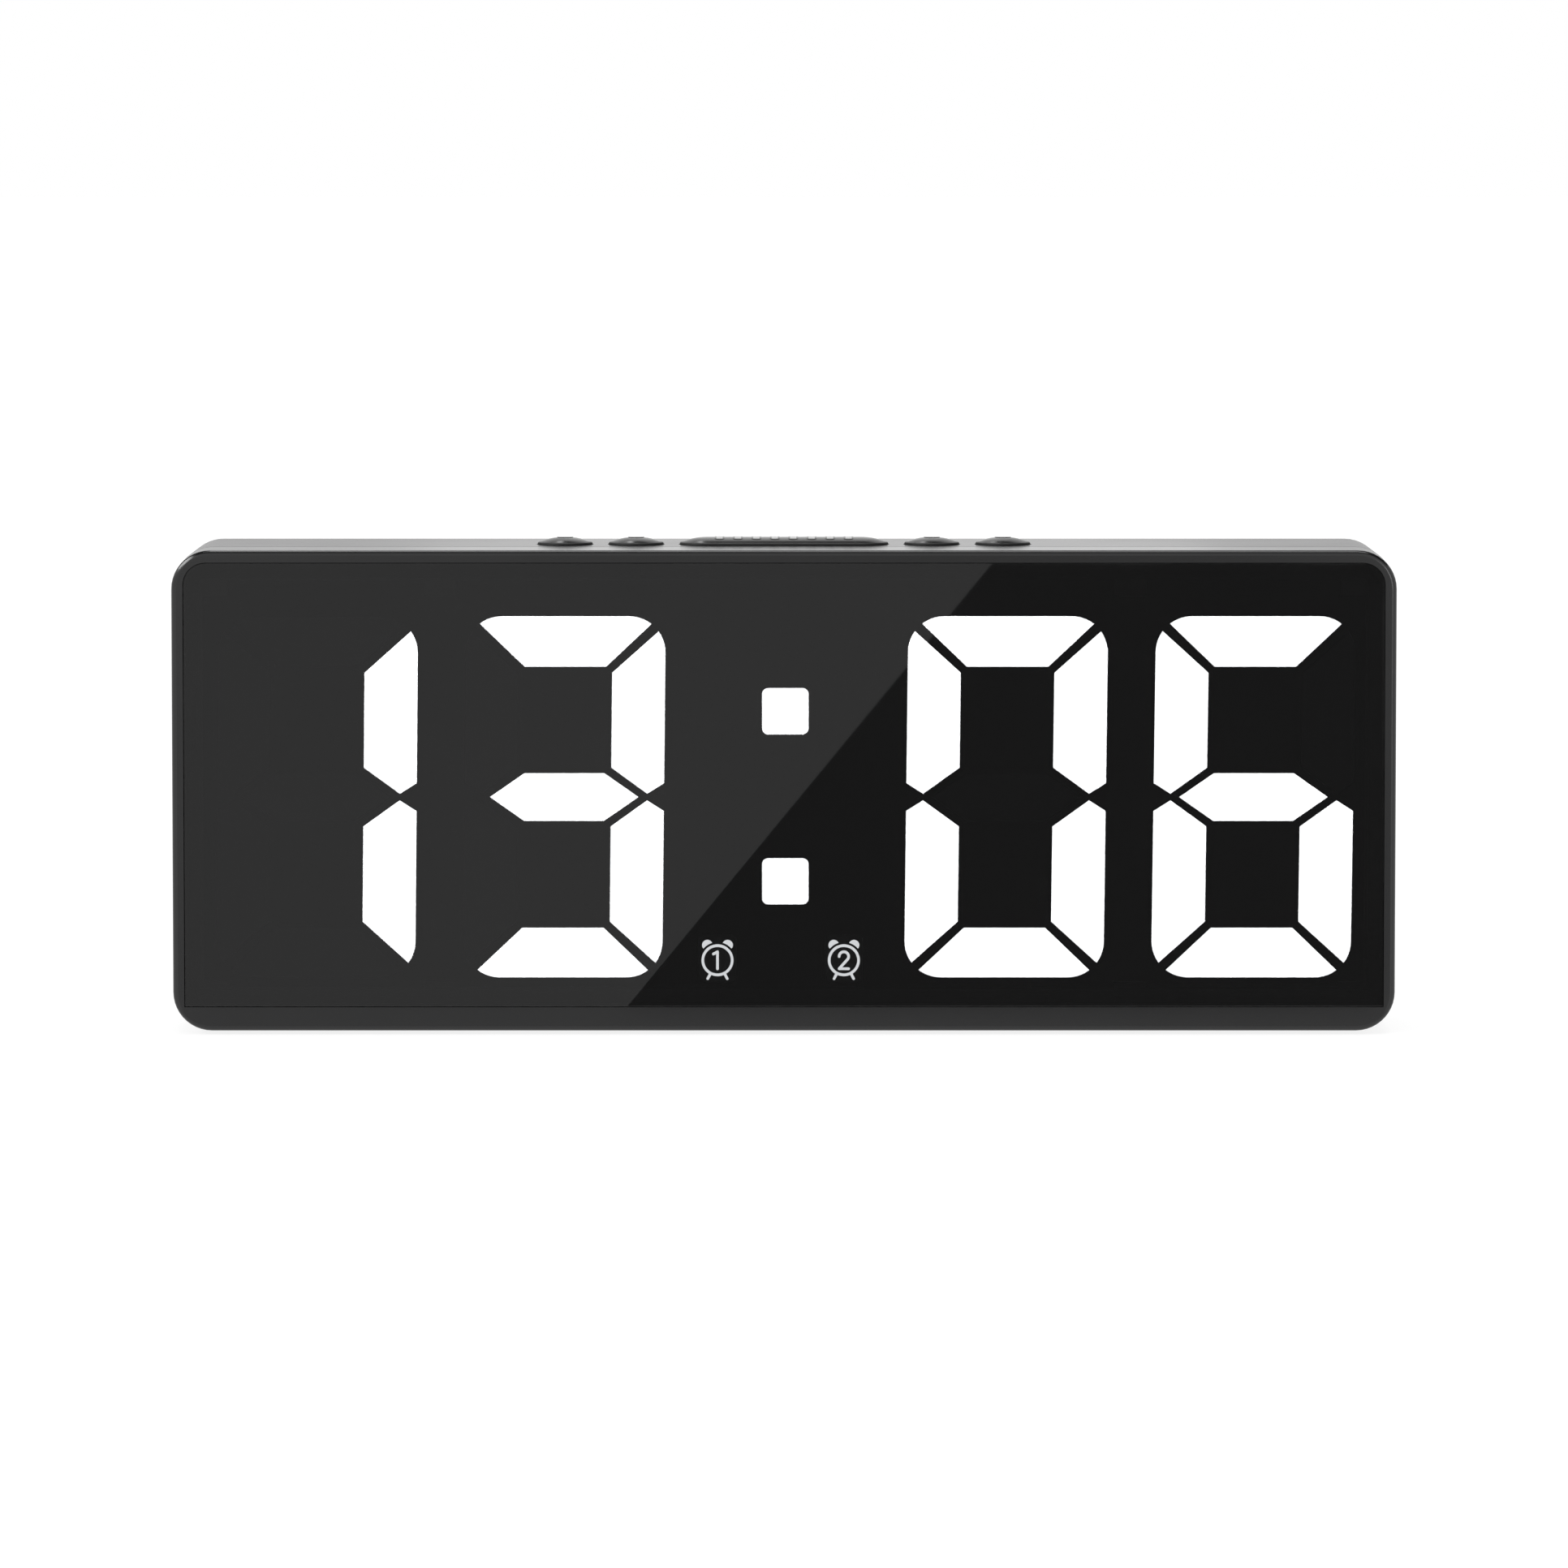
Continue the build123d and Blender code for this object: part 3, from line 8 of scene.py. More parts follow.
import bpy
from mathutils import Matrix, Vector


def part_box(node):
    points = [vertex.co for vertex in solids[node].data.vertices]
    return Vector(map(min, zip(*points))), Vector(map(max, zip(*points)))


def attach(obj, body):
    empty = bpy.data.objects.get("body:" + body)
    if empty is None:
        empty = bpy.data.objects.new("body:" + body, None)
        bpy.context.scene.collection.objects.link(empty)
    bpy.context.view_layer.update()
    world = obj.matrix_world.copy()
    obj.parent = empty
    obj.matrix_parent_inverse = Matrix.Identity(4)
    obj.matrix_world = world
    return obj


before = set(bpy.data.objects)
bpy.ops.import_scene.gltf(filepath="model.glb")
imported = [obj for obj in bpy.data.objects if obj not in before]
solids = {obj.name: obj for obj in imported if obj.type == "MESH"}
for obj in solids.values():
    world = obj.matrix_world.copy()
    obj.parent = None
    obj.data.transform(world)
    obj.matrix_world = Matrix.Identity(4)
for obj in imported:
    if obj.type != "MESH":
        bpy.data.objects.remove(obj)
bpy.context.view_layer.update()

# %% [markdown]
# Blender's own modules come next. A millimetre is the handy unit for a clock, so one name holds its
# length in metres. Sizes on the clock are written as so many of them, and the studio round it is
# written in plain metres.

# %% Modules and the unit
import math

import bmesh
import bpy
from mathutils import Matrix, Vector

mm = 0.001
scene = bpy.context.scene
scene.view_settings.view_transform = "Standard"

# %% [markdown]
# The camera stands about 1.4 m in front of the clock and a little above it, as for a catalogue
# picture. A long lens keeps the case's sides nearly parallel. We could aim the camera with a Track To
# constraint, but a place and one tilt say the same with less.

# %% Camera
camera_distance, camera_height, camera_tilt = 1386 * mm, 151.5 * mm, 4.8954
camera = bpy.data.objects.new("camera", bpy.data.cameras.new("camera"))
camera.location = (0, -camera_distance, camera_height)
camera.rotation_euler = (math.radians(90 - camera_tilt), 0, 0)
camera.data.sensor_width, camera.data.lens = 36, 234.6
camera.data.clip_start, camera.data.clip_end = 0.05, 30
scene.collection.objects.link(camera)
scene.camera = camera
print("camera at", [round(c, 4) for c in camera.location], "lens", camera.data.lens)

# %% [markdown]
# Materials in Blender are graphs of nodes. Wiring each node by hand is long to read, so two small
# classes do it. Link wraps the output of a node, and Python's operators on it add Math nodes, so
# that 1 - mask works. Graph adds any other node: its settings go in first, then the numbers or links
# of its inputs.

# %% Shader helpers
class Link:
    """The output of a node. Each operator on it adds one Math node."""

    def __init__(self, graph, socket):
        self.graph = graph
        self.socket = socket

    def __add__(self, other):
        return self.graph.math("ADD", self, other)

    __radd__ = __add__

    def __mul__(self, other):
        return self.graph.math("MULTIPLY", self, other)

    __rmul__ = __mul__

    def __sub__(self, other):
        return self.graph.math("SUBTRACT", self, other)

    def __rsub__(self, other):
        return self.graph.math("SUBTRACT", other, self)

    def __or__(self, other):
        return self.graph.math("MAXIMUM", self, other)

    def __gt__(self, other):
        return self.graph.math("GREATER_THAN", self, other)

    def __lt__(self, other):
        return self.graph.math("LESS_THAN", self, other)


class Graph:
    """A tree of nodes, filled through one method."""

    def __init__(self, tree):
        self.tree = tree

    def set(self, socket, value):
        if isinstance(value, Link):
            self.tree.links.new(value.socket, socket)
        else:
            socket.default_value = value

    def add(self, kind, settings={}, inputs={}, output=0):
        node = self.tree.nodes.new(kind)
        for name, value in settings.items():
            setattr(node, name, value)
        pairs = inputs.items() if isinstance(inputs, dict) else enumerate(inputs)
        for name, value in pairs:
            self.set(node.inputs[name], value)
        return Link(self, node.outputs[output])

    def math(self, operation, first, second=0):
        return self.add("ShaderNodeMath", {"operation": operation}, [first, second])


print("shader helpers ready")

# %% [markdown]
# A finish is a material round one Principled surface. Its patterns read Object coordinates, which
# are the clock's own coordinates here, because every piece's object sits at the origin. A Mapping
# node is needed only where a pattern is stretched. For plain noise the scale is enough: it is one
# over the size of the grains.

# %% A finish and its patterns
# A Mix node keeps sockets for every kind of data. These are the numbers of the ones for colours.
mix_share, mix_first, mix_second, mix_result = 0, 6, 7, 2


class Finish(Graph):
    """A material with one Principled surface, whose numbers and patterns are given by socket name."""

    def __init__(self, name, **numbers):
        self.material = bpy.data.materials.new(name)
        self.material.use_nodes = True
        super().__init__(self.material.node_tree)
        self.surface = self.tree.nodes["Principled BSDF"]
        self.paint(**numbers)

    def paint(self, **values):
        for name, value in values.items():
            self.set(self.surface.inputs[name.replace("_", " ")], value)

    def place(self, stretch=None):
        where = self.add("ShaderNodeTexCoord", output="Object")
        if stretch is None:
            return where
        return self.add("ShaderNodeMapping", {}, {"Vector": where, "Scale": stretch})

    def axis(self, letter):
        """One coordinate of the clock, in millimetres."""
        return self.add("ShaderNodeSeparateXYZ", {}, {"Vector": self.place()}, output=letter) * (1 / mm)

    def noise(self, size, detail=2, stretch=None):
        """A soft pattern from 0 to 1 with grains of this size."""
        where = self.place(stretch)
        return self.add("ShaderNodeTexNoise", {}, {"Vector": where, "Scale": 1 / size, "Detail": detail})

    def between(self, share, first, second):
        """The first colour where the share is 0 and the second where it is 1."""
        inputs = {mix_share: share}
        for socket, colour in ((mix_first, first), (mix_second, second)):
            inputs[socket] = colour if isinstance(colour, Link) else (*colour, 1)
        return self.add("ShaderNodeMix", {"data_type": "RGBA"}, inputs, output=mix_result)

    def relief(self, height, depth):
        """Bumps of this depth where the height goes from 0 to 1."""
        return self.add("ShaderNodeBump", {}, {"Height": height, "Distance": depth})


def grey(value):
    return (value, value, value)


print("finish class ready")

# %% [markdown]
# The studio's ground and sky have to be pure white to the camera, as on a catalogue page. Turning the
# lamps up would do it too, but would wash out the clock. So Light Path nodes tell rays apart: the
# camera, glossy and transmitted rays see white, and all other light comes at a plain level, at which
# a colour renders about as it is written. The world is the first to get this.

# %% World
plain_level = 0.6


def looked_at(graph):
    """1 for a ray that looks at the background, straight, in a mirror or through glass."""
    straight, mirrored, through = [
        graph.add("ShaderNodeLightPath", output=f"Is {kind} Ray") for kind in ("Camera", "Glossy", "Transmission")
    ]
    return straight | mirrored | through


scene.world = bpy.data.worlds.new("studio")
scene.world.use_nodes = True
sky = Graph(scene.world.node_tree)
sky_light = sky.tree.nodes["Background"]
sky.set(sky_light.inputs["Color"], (1, 1, 1, 1))
sky.set(sky_light.inputs["Strength"], plain_level + (1 - plain_level) * looked_at(sky))
print("world ready, plain level", plain_level)

# %% [markdown]
# The floor is a flat sheet just under the feet. It could be a plain emitter, but then the clock would
# seem to float. So a Mix Shader keeps a share of its real shading, and the soft shadow stays on it.
# The glow makes up for what that share lacks far from the lamps, or a grey horizon would show.

# %% Floor
def bare_material(name):
    """A material whose surface is still open, and its graph."""
    material = bpy.data.materials.new(name)
    material.use_nodes = True
    graph = Graph(material.node_tree)
    graph.tree.nodes.remove(graph.tree.nodes["Principled BSDF"])
    return material, graph


def rectangle(left, right, low, high):
    """The corners of a rectangle, as pairs."""
    return [(left, low), (right, low), (right, high), (left, high)]


def stage_piece(name, points, material):
    """A flat piece of the studio with these corners."""
    sheet = bmesh.new()
    sheet.faces.new([sheet.verts.new(point) for point in points])
    mesh = bpy.data.meshes.new(name)
    sheet.to_mesh(mesh)
    sheet.free()
    mesh.materials.append(material)
    piece = bpy.data.objects.new(name, mesh)
    scene.collection.objects.link(piece)
    return piece


floor_reach, floor_drop = 4.0, 0.02 * mm
floor_shading, far_shading = 0.3, 0.5
floor_glow = (1 - floor_shading * far_shading) / (1 - floor_shading)
floor_material, paint = bare_material("white_floor")
shaded = paint.add("ShaderNodeBsdfDiffuse", {}, {"Color": (*grey(0.9), 1)})
bright = paint.add("ShaderNodeEmission", {}, {"Color": (1, 1, 1, 1), "Strength": floor_glow})
mixed = paint.add("ShaderNodeMixShader", {}, [(1 - floor_shading) * looked_at(paint), shaded, bright])
paint.set(paint.tree.nodes["Material Output"].inputs["Surface"], mixed)
floor_corners = rectangle(-floor_reach, floor_reach, -floor_reach, floor_reach)
stage_piece("floor", [(x, y, -floor_drop) for x, y in floor_corners], floor_material)
print("floor glows at", round(floor_glow, 3))

# %% [markdown]
# Two soft lamps in front, left and right, and one above light the clock evenly. Area lamps are the
# studio's softboxes: the larger they are, the softer their shadow. Point lamps would be simpler, but
# draw hard specks on the black plastic. The right one stands low and beside the camera, where the
# rounded right edge of the case mirrors it as a thin bright line.

# %% Lamps
clock_middle = Vector((0, 0, 33 * mm))


def softbox(name, place, size, watts):
    """A rectangular lamp that faces the middle of the clock."""
    lamp = bpy.data.lights.new(name, "AREA")
    lamp.shape = "RECTANGLE"
    lamp.size, lamp.size_y = size
    lamp.energy = watts
    holder = bpy.data.objects.new(name, lamp)
    holder.location = place
    aim = clock_middle - Vector(place)
    holder.rotation_euler = aim.to_track_quat("-Z", "Y").to_euler()
    scene.collection.objects.link(holder)
    print(name, "gives", watts, "W")


softbox("softbox_left", place=(-1.1, -1.1, 1.0), size=(0.45, 0.45), watts=7)
softbox("softbox_right", place=(0.75, -1.45, 0.25), size=(0.25, 0.5), watts=2.4)
softbox("softbox_top", place=(0.1, 0.2, 1.6), size=(1.0, 0.6), watts=7)

# %% [markdown]
# The smooth lens mirrors the studio. In the picture a straight slanted line crosses it, lighter on
# its left and darker on its right: that is the edge of a dark card. A painted line on the lens would
# stay put when the camera moves, so it is no way to make a reflection. Here the cards really lie on
# the floor in front of the clock, where only glossy rays see them. A point of the lens and the camera
# give the floor point that the camera sees mirrored there: the floor is met where the line from the
# camera's mirror image through the lens point comes down to it. A third card, found in the same way,
# dims what the lowest band of the frame mirrors.

# %% Cards on the floor
card_lift = 0.1 * mm
lens_low, lens_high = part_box("front_lens")


def mirrored_on_floor(points):
    """The floor points that the camera sees in the lens at these pairs of X and Z, in millimetres."""
    eye = camera.location
    found = []
    for x, z in points:
        reach = eye.z / (eye.z - z * mm)
        found.append((reach * x * mm, lens_low.y - (reach - 1) * (lens_low.y - eye.y), card_lift))
    return found


def mirrored_card(name, points, brightness):
    """A card of this brightness that only glossy rays see."""
    material, graph = bare_material(name)
    glow = graph.add("ShaderNodeEmission", {}, {"Color": (1, 1, 1, 1), "Strength": brightness})
    graph.set(graph.tree.nodes["Material Output"].inputs["Surface"], glow)
    card = stage_piece(name, points, material)
    card.visible_camera = card.visible_diffuse = card.visible_transmission = card.visible_shadow = False
    print(name, "corners", [[round(c, 3) for c in v.co] for v in card.data.vertices])


left_end, right_end, low_end, high_end = -82.5, 80.9, 3.8, 63.8
slant_foot, slant_head = (-21.1, low_end), (28.1, high_end)
grey_side = [(left_end, low_end), slant_foot, slant_head, (left_end, high_end)]
dark_side = [slant_foot, (right_end, low_end), (right_end, high_end), slant_head]
mirrored_card("grey_card", mirrored_on_floor(grey_side), brightness=0.6)
mirrored_card("dark_card", mirrored_on_floor(dark_side), brightness=0.155)

foot_half_width, foot_low, foot_high = 84, 0.4, 3.6
foot_band = rectangle(-foot_half_width, foot_half_width, foot_low, foot_high)
mirrored_card("foot_card", mirrored_on_floor(foot_band), brightness=0.8)

# %% [markdown]
# Seen this low, the top of the case mirrors what stands far behind it. Its middle is a little brighter
# than its ends, so three upright cards stand there, two of them wings to the left and right. The keys
# are domes, and their front slopes look up: a wide dark canopy high above makes those slopes dark. It
# hangs above the softboxes, so that it doesn't hide them.

# %% Cards behind and above
wing_distance, wing_foot, wing_head = 1.5, 0.002, 1.2
wings_end, left_gap, right_gap = 1.6, -0.10, 0.12
canopy_side, canopy_front, canopy_back, canopy_height = 2.5, -1.0, 2.2, 1.7


def standing(left, right):
    """The corners of an upright card far behind the clock, between these places along X."""
    return [(x, wing_distance, z) for x, z in rectangle(left, right, wing_foot, wing_head)]


def hanging(left, right, front, back, height):
    """The corners of a level card at this height."""
    return [(x, y, height) for x, y in rectangle(left, right, front, back)]


mirrored_card("left_wing", standing(-wings_end, left_gap), brightness=0.9)
mirrored_card("right_wing", standing(right_gap, wings_end), brightness=0.88)
mirrored_card("middle_wing", standing(left_gap, right_gap), brightness=1.12)
canopy = hanging(-canopy_side, canopy_side, canopy_front, canopy_back, canopy_height)
mirrored_card("canopy", canopy, brightness=0.05)

# %% [markdown]
# Two small bright cards draw the glints that make a black thing look solid. One hangs just under the
# canopy, behind the clock, and shows as a short upright line on the left of each domed key. The other
# stands to the upper left, and shows on the rounded edge of that corner. A lamp would do too, but it
# would also light the whole clock, and these two only add their mirror image.

# %% Cards for the glints
slit_left, slit_right, slit_front, slit_back, slit_drop = -0.29, -0.15, 1.1, 2.2, 0.01
slit = hanging(slit_left, slit_right, slit_front, slit_back, canopy_height - slit_drop)
mirrored_card("key_glint_card", slit, brightness=4.5)

corner_way, corner_distance = Vector((-0.73, -0.15, 0.66)), 1.2
half_length, half_width = 0.26, 0.39
along, across = Vector((0.67, 0, 0.74)) * half_length, Vector((0, 1, 0)) * half_width
corner_middle = corner_way * corner_distance
corner_card = [corner_middle + along * a + across * b for a, b in rectangle(-1, 1, -1, 1)]
mirrored_card("corner_glint_card", corner_card, brightness=10.0)

# %% [markdown]
# The case is moulded in black plastic, with a fine satin surface on the front frame. It is almost
# black, so that what the eye sees is its soft reflection, and its roughness matters more than its
# colour. One flat roughness would look like a drawing. Noise of two sizes breaks it up: broad patches
# where hands have polished the plastic, and a grain of a sixth of a millimetre as relief.

# %% Satin frame
patch_size = 14 * mm
deep_black, worn_black = (0.0035, 0.0035, 0.0038), (0.0065, 0.0065, 0.0068)


def case_black(name):
    """Almost black plastic, worn paler in broad patches, and the pattern of these patches."""
    finish = Finish(name, IOR=1.5)
    patches = finish.noise(patch_size, detail=3)
    finish.paint(Base_Color=finish.between(patches, deep_black, worn_black))
    return finish, patches


satin_grain, satin_depth = 0.16 * mm, 0.002 * mm
satin_black, worn = case_black("satin_black")
satin_black.paint(
    Roughness=0.17 + 0.06 * worn,
    Normal=satin_black.relief(satin_black.noise(satin_grain, detail=1), satin_depth),
)
print("front frame is satin black")

# %% [markdown]
# The shell behind the frame comes from a spark-eroded mould, and its back is etched ten times deeper
# than its top and sides. Two finishes would need the shell cut in two. One finish can hold both: a
# mask that is 1 behind a plane, read from the Y coordinate, switches the deeper pits and the extra
# roughness on.

# %% Grained shell with an etched back
back_starts, pit_size, pit_depth, shallow_share = 12.4, 0.5 * mm, 0.03 * mm, 0.1
grained_black, worn = case_black("grained_black")
etched = grained_black.axis("Y") > back_starts
pits = grained_black.noise(pit_size) * (shallow_share + (1 - shallow_share) * etched)
grained_black.paint(
    Roughness=0.22 + 0.04 * grained_black.noise(patch_size) + 0.16 * etched,
    Normal=grained_black.relief(pits, pit_depth),
)
print("back is etched from y =", back_starts, "mm")

# %% [markdown]
# The five keys are smoother than the case. On the real keys the marks are printed in white. These
# marks are plain: a row of ribs on the long key and a disc on each round one, all raised in the
# solids. An image would be one way to print them. Here the ribs come from a Ping-Pong node, which
# folds X into one rib's width, and the discs from the distance to each key's middle.

# %% Printed marks on the keys
def middle_of(name):
    """The middle of a solid's box."""
    low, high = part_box(name)
    return (low + high) / 2


rib_pitch, rib_half_width, rib_half_length, rib_row_half = 2.5, 0.42, 1.8, 9.6
disc_radius = 0.8
key_black = Finish("key_black", IOR=1.36)
key_x, key_y = key_black.axis("X"), key_black.axis("Y")
folded = key_black.math("PINGPONG", key_x, rib_pitch / 2)
in_row = (key_x > -rib_row_half) * (key_x < rib_row_half)
in_rib = (folded > rib_pitch / 2 - rib_half_width) * (key_y > -rib_half_length) * (key_y < rib_half_length)
marks = in_rib * in_row
for name in ("left_outer_key", "left_inner_key", "right_inner_key", "right_outer_key"):
    aside = key_x - middle_of(name).x / mm
    marks = marks | (aside * aside + key_y * key_y < disc_radius**2)
key_black.paint(Base_Color=key_black.between(marks, (0.0045, 0.0045, 0.0048), grey(0.42)))
print("marks printed on the keys")

# %% [markdown]
# The crowns of the keys are polished by fingers, and the rims keep the matt skin of the mould. A Map
# Range node turns the height above the case into a soft mask, which is 1 at the rim and 0 above it.
# A Color Ramp could do the same, but its stops can't be given in millimetres.

# %% Grain and matt rims of the keys
case_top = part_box("rear_shell")[1].z / mm
rim_low, rim_high, rim_roughness = 0.1, 0.48, 0.5
key_grain, key_depth = 0.2 * mm, 0.001 * mm
height = key_black.axis("Z") - case_top
rim = key_black.add("ShaderNodeMapRange", {"interpolation_type": "SMOOTHSTEP"}, [height, rim_low, rim_high, 1, 0])
key_black.paint(
    Roughness=0.15 + 0.06 * key_black.noise(patch_size, detail=3) + rim_roughness * rim,
    Normal=key_black.relief(key_black.noise(key_grain, detail=1), key_depth),
)
print("case top at z =", round(case_top, 2), "mm")

# %% [markdown]
# The lens is a smoked acrylic plate. Real glass shaders bend the light and are slow and noisy over a
# lit display. A dark surface that is partly see-through, by its Alpha, gives the same look: it keeps
# out most of the light and mirrors the studio, more so at a flat angle. The rear face is glued to
# black tape along its rim, so its own mirror image would stop there in a visible band. An Alpha of 0
# on that face, found by its Y coordinate, takes the band away.

# %% Lens
lens_opacity, rear_margin = 0.84, 0.02
smoked_lens = Finish("smoked_lens", IOR=1.62)
rear_face = smoked_lens.axis("Y") > lens_high.y / mm - rear_margin
smudges = smoked_lens.noise(9 * mm, detail=4)
smoked_lens.paint(
    Alpha=lens_opacity * (1 - rear_face),
    Base_Color=smoked_lens.between(smudges, grey(0.001), grey(0.002)),
    Roughness=0.004 + 0.012 * smudges,
)
print("lens keeps out", lens_opacity, "of the light")

# %% [markdown]
# A lit bar is a piece of milky plastic over small lamps. It is bright all over, only a little cloudy,
# and the dark lens in front takes most of its light away, so it glows at several times white. The
# bars that aren't lit are of the same milky plastic, but they get a painted shade: a dull dark grey,
# so that behind the same lens they all but vanish. Lamps inside the bars would be truer, but the
# surface's own Emission gives the same even glow at once.

# %% Lit and unlit bars
lit_strength = 6.6
lit_white = Finish("lit_white", Base_Color=(*grey(0.75), 1), Roughness=0.5, Emission_Strength=lit_strength)
cloudy = lit_white.noise(7 * mm)
lit_white.paint(Emission_Color=lit_white.between(cloudy, (0.93, 0.95, 0.98), grey(1)))

# The unlit bars' dull dark grey is painted shade, far darker than their milky plastic.
unlit_grey = Finish("unlit_grey", Roughness=0.8, IOR=1.3)
clouds = unlit_grey.noise(2 * mm)
unlit_grey.paint(Base_Color=unlit_grey.between(clouds, (0.012, 0.012, 0.013), (0.018, 0.018, 0.019)))
print("bars glow at", lit_strength)

# %% [markdown]
# Each alarm symbol is a small plate with a raised bell clock, and only the raised face lets light out.
# The black print round the symbol overlaps the two bells, so they show smaller than they are moulded.
# The plate could be cut again for that, but a print is what such a display has, and here it's a mask
# of circles round the ring's middle. An Absolute node folds both symbols onto one, and a second one
# folds the right bell onto the left, so one sum does for all four.

# %% Lit symbols
symbol_front, symbol_share = -10.4, 0.62
ring_reach, ring_drop = 2.22, 0.25
bell_out, bell_up, bell_radius, bell_start = 1.37, 2.06, 0.72, 2.47
first_symbol, second_symbol = middle_of("alarm_one_icon") / mm, middle_of("alarm_two_icon") / mm
fold_x = (first_symbol.x + second_symbol.x) / 2
icon_face = Finish("icon_face", Roughness=0.5, Emission_Strength=symbol_share * lit_strength)
aside = icon_face.math("ABSOLUTE", icon_face.axis("X") - fold_x) - (second_symbol.x - fold_x)
up = icon_face.axis("Z") - (first_symbol.z - ring_drop)
bell_side = icon_face.math("ABSOLUTE", aside) - bell_out
from_ring = aside * aside + up * up
from_bell = bell_side * bell_side + (up - bell_up) * (up - bell_up)
bells = (from_bell < bell_radius**2) * (from_ring > bell_start**2)
clock_face = (from_ring < ring_reach**2) | (up < 0)
glowing = (icon_face.axis("Y") < symbol_front) * (bells | clock_face)
icon_face.paint(
    Base_Color=icon_face.between(glowing, grey(0.004), grey(0.75)),
    Emission_Color=icon_face.between(glowing, grey(0), (0.95, 0.97, 1)),
)
print("symbols at x =", round(first_symbol.x, 2), "and", round(second_symbol.x, 2), "mm")

# %% [markdown]
# Behind the bars lie the mask, a black printed sheet, and the white reflector. The tape that holds
# the lens is black foam. These, and most small pieces inside, are plain things in two close shades of
# one colour. Each could have a graph of its own, but one function with two shades, the size of the
# grains and a roughness does for all of them.

# %% Mask, reflector and tape
def speckled(name, dark, light, size, roughness, depth=0.0, **numbers):
    """A plain finish whose colour and roughness vary softly, with relief where a depth is given."""
    finish = Finish(name, **numbers)
    grains = finish.noise(size)
    finish.paint(Base_Color=finish.between(grains, dark, light), Roughness=roughness - 0.05 + 0.1 * grains)
    if depth:
        finish.paint(Normal=finish.relief(grains, depth))
    return finish


mask_black = speckled("mask_black", grey(0.002), grey(0.004), size=0.8 * mm, roughness=0.9, IOR=1.3)
tape_black = speckled("tape_black", grey(0.002), grey(0.004), size=0.3 * mm, roughness=0.8, depth=0.02 * mm)
reflector_white = speckled("reflector_white", grey(0.72), grey(0.8), size=3 * mm, roughness=0.45)
print("display finishes ready")

# %% [markdown]
# Inside are three circuit boards: the main one, the one under the keys and the one that carries the
# power socket. Copper lines show as paler green through their lacquer. An image of a real layout
# would be truer, but a Brick Texture gives even blocks with paler lines between them for nothing. The
# chip's metal legs stick out of its black body to the left and right, so X tells them from it.

# %% Boards and chips
block_scale, line_width = 160.0, 0.03
board_green = Finish("board_green", IOR=1.5)
blocks = {"Color1": (0.01, 0.09, 0.035, 1), "Color2": (0.008, 0.075, 0.03, 1), "Mortar": (0.02, 0.16, 0.06, 1)}
blocks.update({"Vector": board_green.place(), "Scale": block_scale, "Mortar Size": line_width})
traces = board_green.add("ShaderNodeTexBrick", {"offset": 0.5}, blocks)
board_green.paint(Base_Color=traces, Roughness=0.28 + 0.1 * board_green.noise(1.5 * mm))
led_yellow = speckled("led_yellow", (0.75, 0.62, 0.12), (0.85, 0.74, 0.25), size=0.4 * mm, roughness=0.35)

chip_middle, chip_half_body = 14, 3.76
chip_black = Finish("chip_black")
legs = chip_black.math("ABSOLUTE", chip_black.axis("X") - chip_middle) > chip_half_body
chip_black.paint(
    Base_Color=chip_black.between(legs, (0.012, 0.012, 0.013), (0.72, 0.72, 0.7)),
    Metallic=legs,
    Roughness=0.55 - 0.25 * legs + 0.1 * chip_black.noise(0.5 * mm),
)
print("board finishes ready")

# %% [markdown]
# The battery contacts, the socket's shell and the crystal's can are tinned, and the screws are plain
# steel. Bare metal shows by what it mirrors, so its colour hardly varies and its roughness does. Fine
# level scratches are noise that a Mapping node squeezes to an eighth of its height. Scratches could
# be cut into the mesh, but at this size nobody would see the difference.

# %% Metals
scratch_size, scratch_squeeze = 0.3 * mm, (1, 1, 8)


def brushed(name, shade, roughness):
    """Bare metal with fine long scratches."""
    finish = Finish(name, Metallic=1.0)
    scratches = finish.noise(scratch_size, detail=3, stretch=scratch_squeeze)
    dull = tuple(0.8 * c for c in shade)
    finish.paint(Base_Color=finish.between(scratches, dull, shade), Roughness=roughness - 0.08 + 0.16 * scratches)
    return finish


tinned_metal = brushed("tinned_metal", (0.78, 0.77, 0.74), roughness=0.28)
screw_steel = brushed("screw_steel", (0.56, 0.56, 0.58), roughness=0.32)
print("metals ready")

# %% [markdown]
# The other small pieces are moulded plastic, sleeves of leads and rubber feet. Few people will see
# them, but the battery door opens, and a finish that is honest costs little. Rubber is the roughest,
# and the shrunk sleeve of the capacitor the smoothest.

# %% Plastics, leads and rubber
capacitor_sleeve = speckled(
    "capacitor_sleeve", (0.01, 0.014, 0.03), (0.014, 0.02, 0.04), size=1 * mm, roughness=0.35,
)
buzzer_black = speckled("buzzer_black", grey(0.008), grey(0.014), size=0.5 * mm, roughness=0.45, depth=0.004 * mm)
switch_black = speckled("switch_black", grey(0.01), grey(0.016), size=0.5 * mm, roughness=0.5)
tongue_black = speckled("tongue_black", grey(0.01), grey(0.016), size=0.5 * mm, roughness=0.5)
plunger_red = speckled("plunger_red", (0.35, 0.02, 0.015), (0.42, 0.03, 0.02), size=0.8 * mm, roughness=0.4)
wire_red = speckled("wire_red", (0.4, 0.012, 0.01), (0.5, 0.02, 0.015), size=1 * mm, roughness=0.4)
wire_black = speckled("wire_black", grey(0.008), grey(0.014), size=1 * mm, roughness=0.4)
foot_rubber = speckled("foot_rubber", grey(0.012), grey(0.022), size=0.3 * mm, roughness=0.85, depth=0.01 * mm)
print("small finishes ready")

# %% [markdown]
# A grey ribbon joins the key board to the main board. Its wires lie side by side under one skin, so
# it is ribbed along its length. Ribs could be cut into the mesh, but a Wave Texture across X gives
# both their shade and their relief.

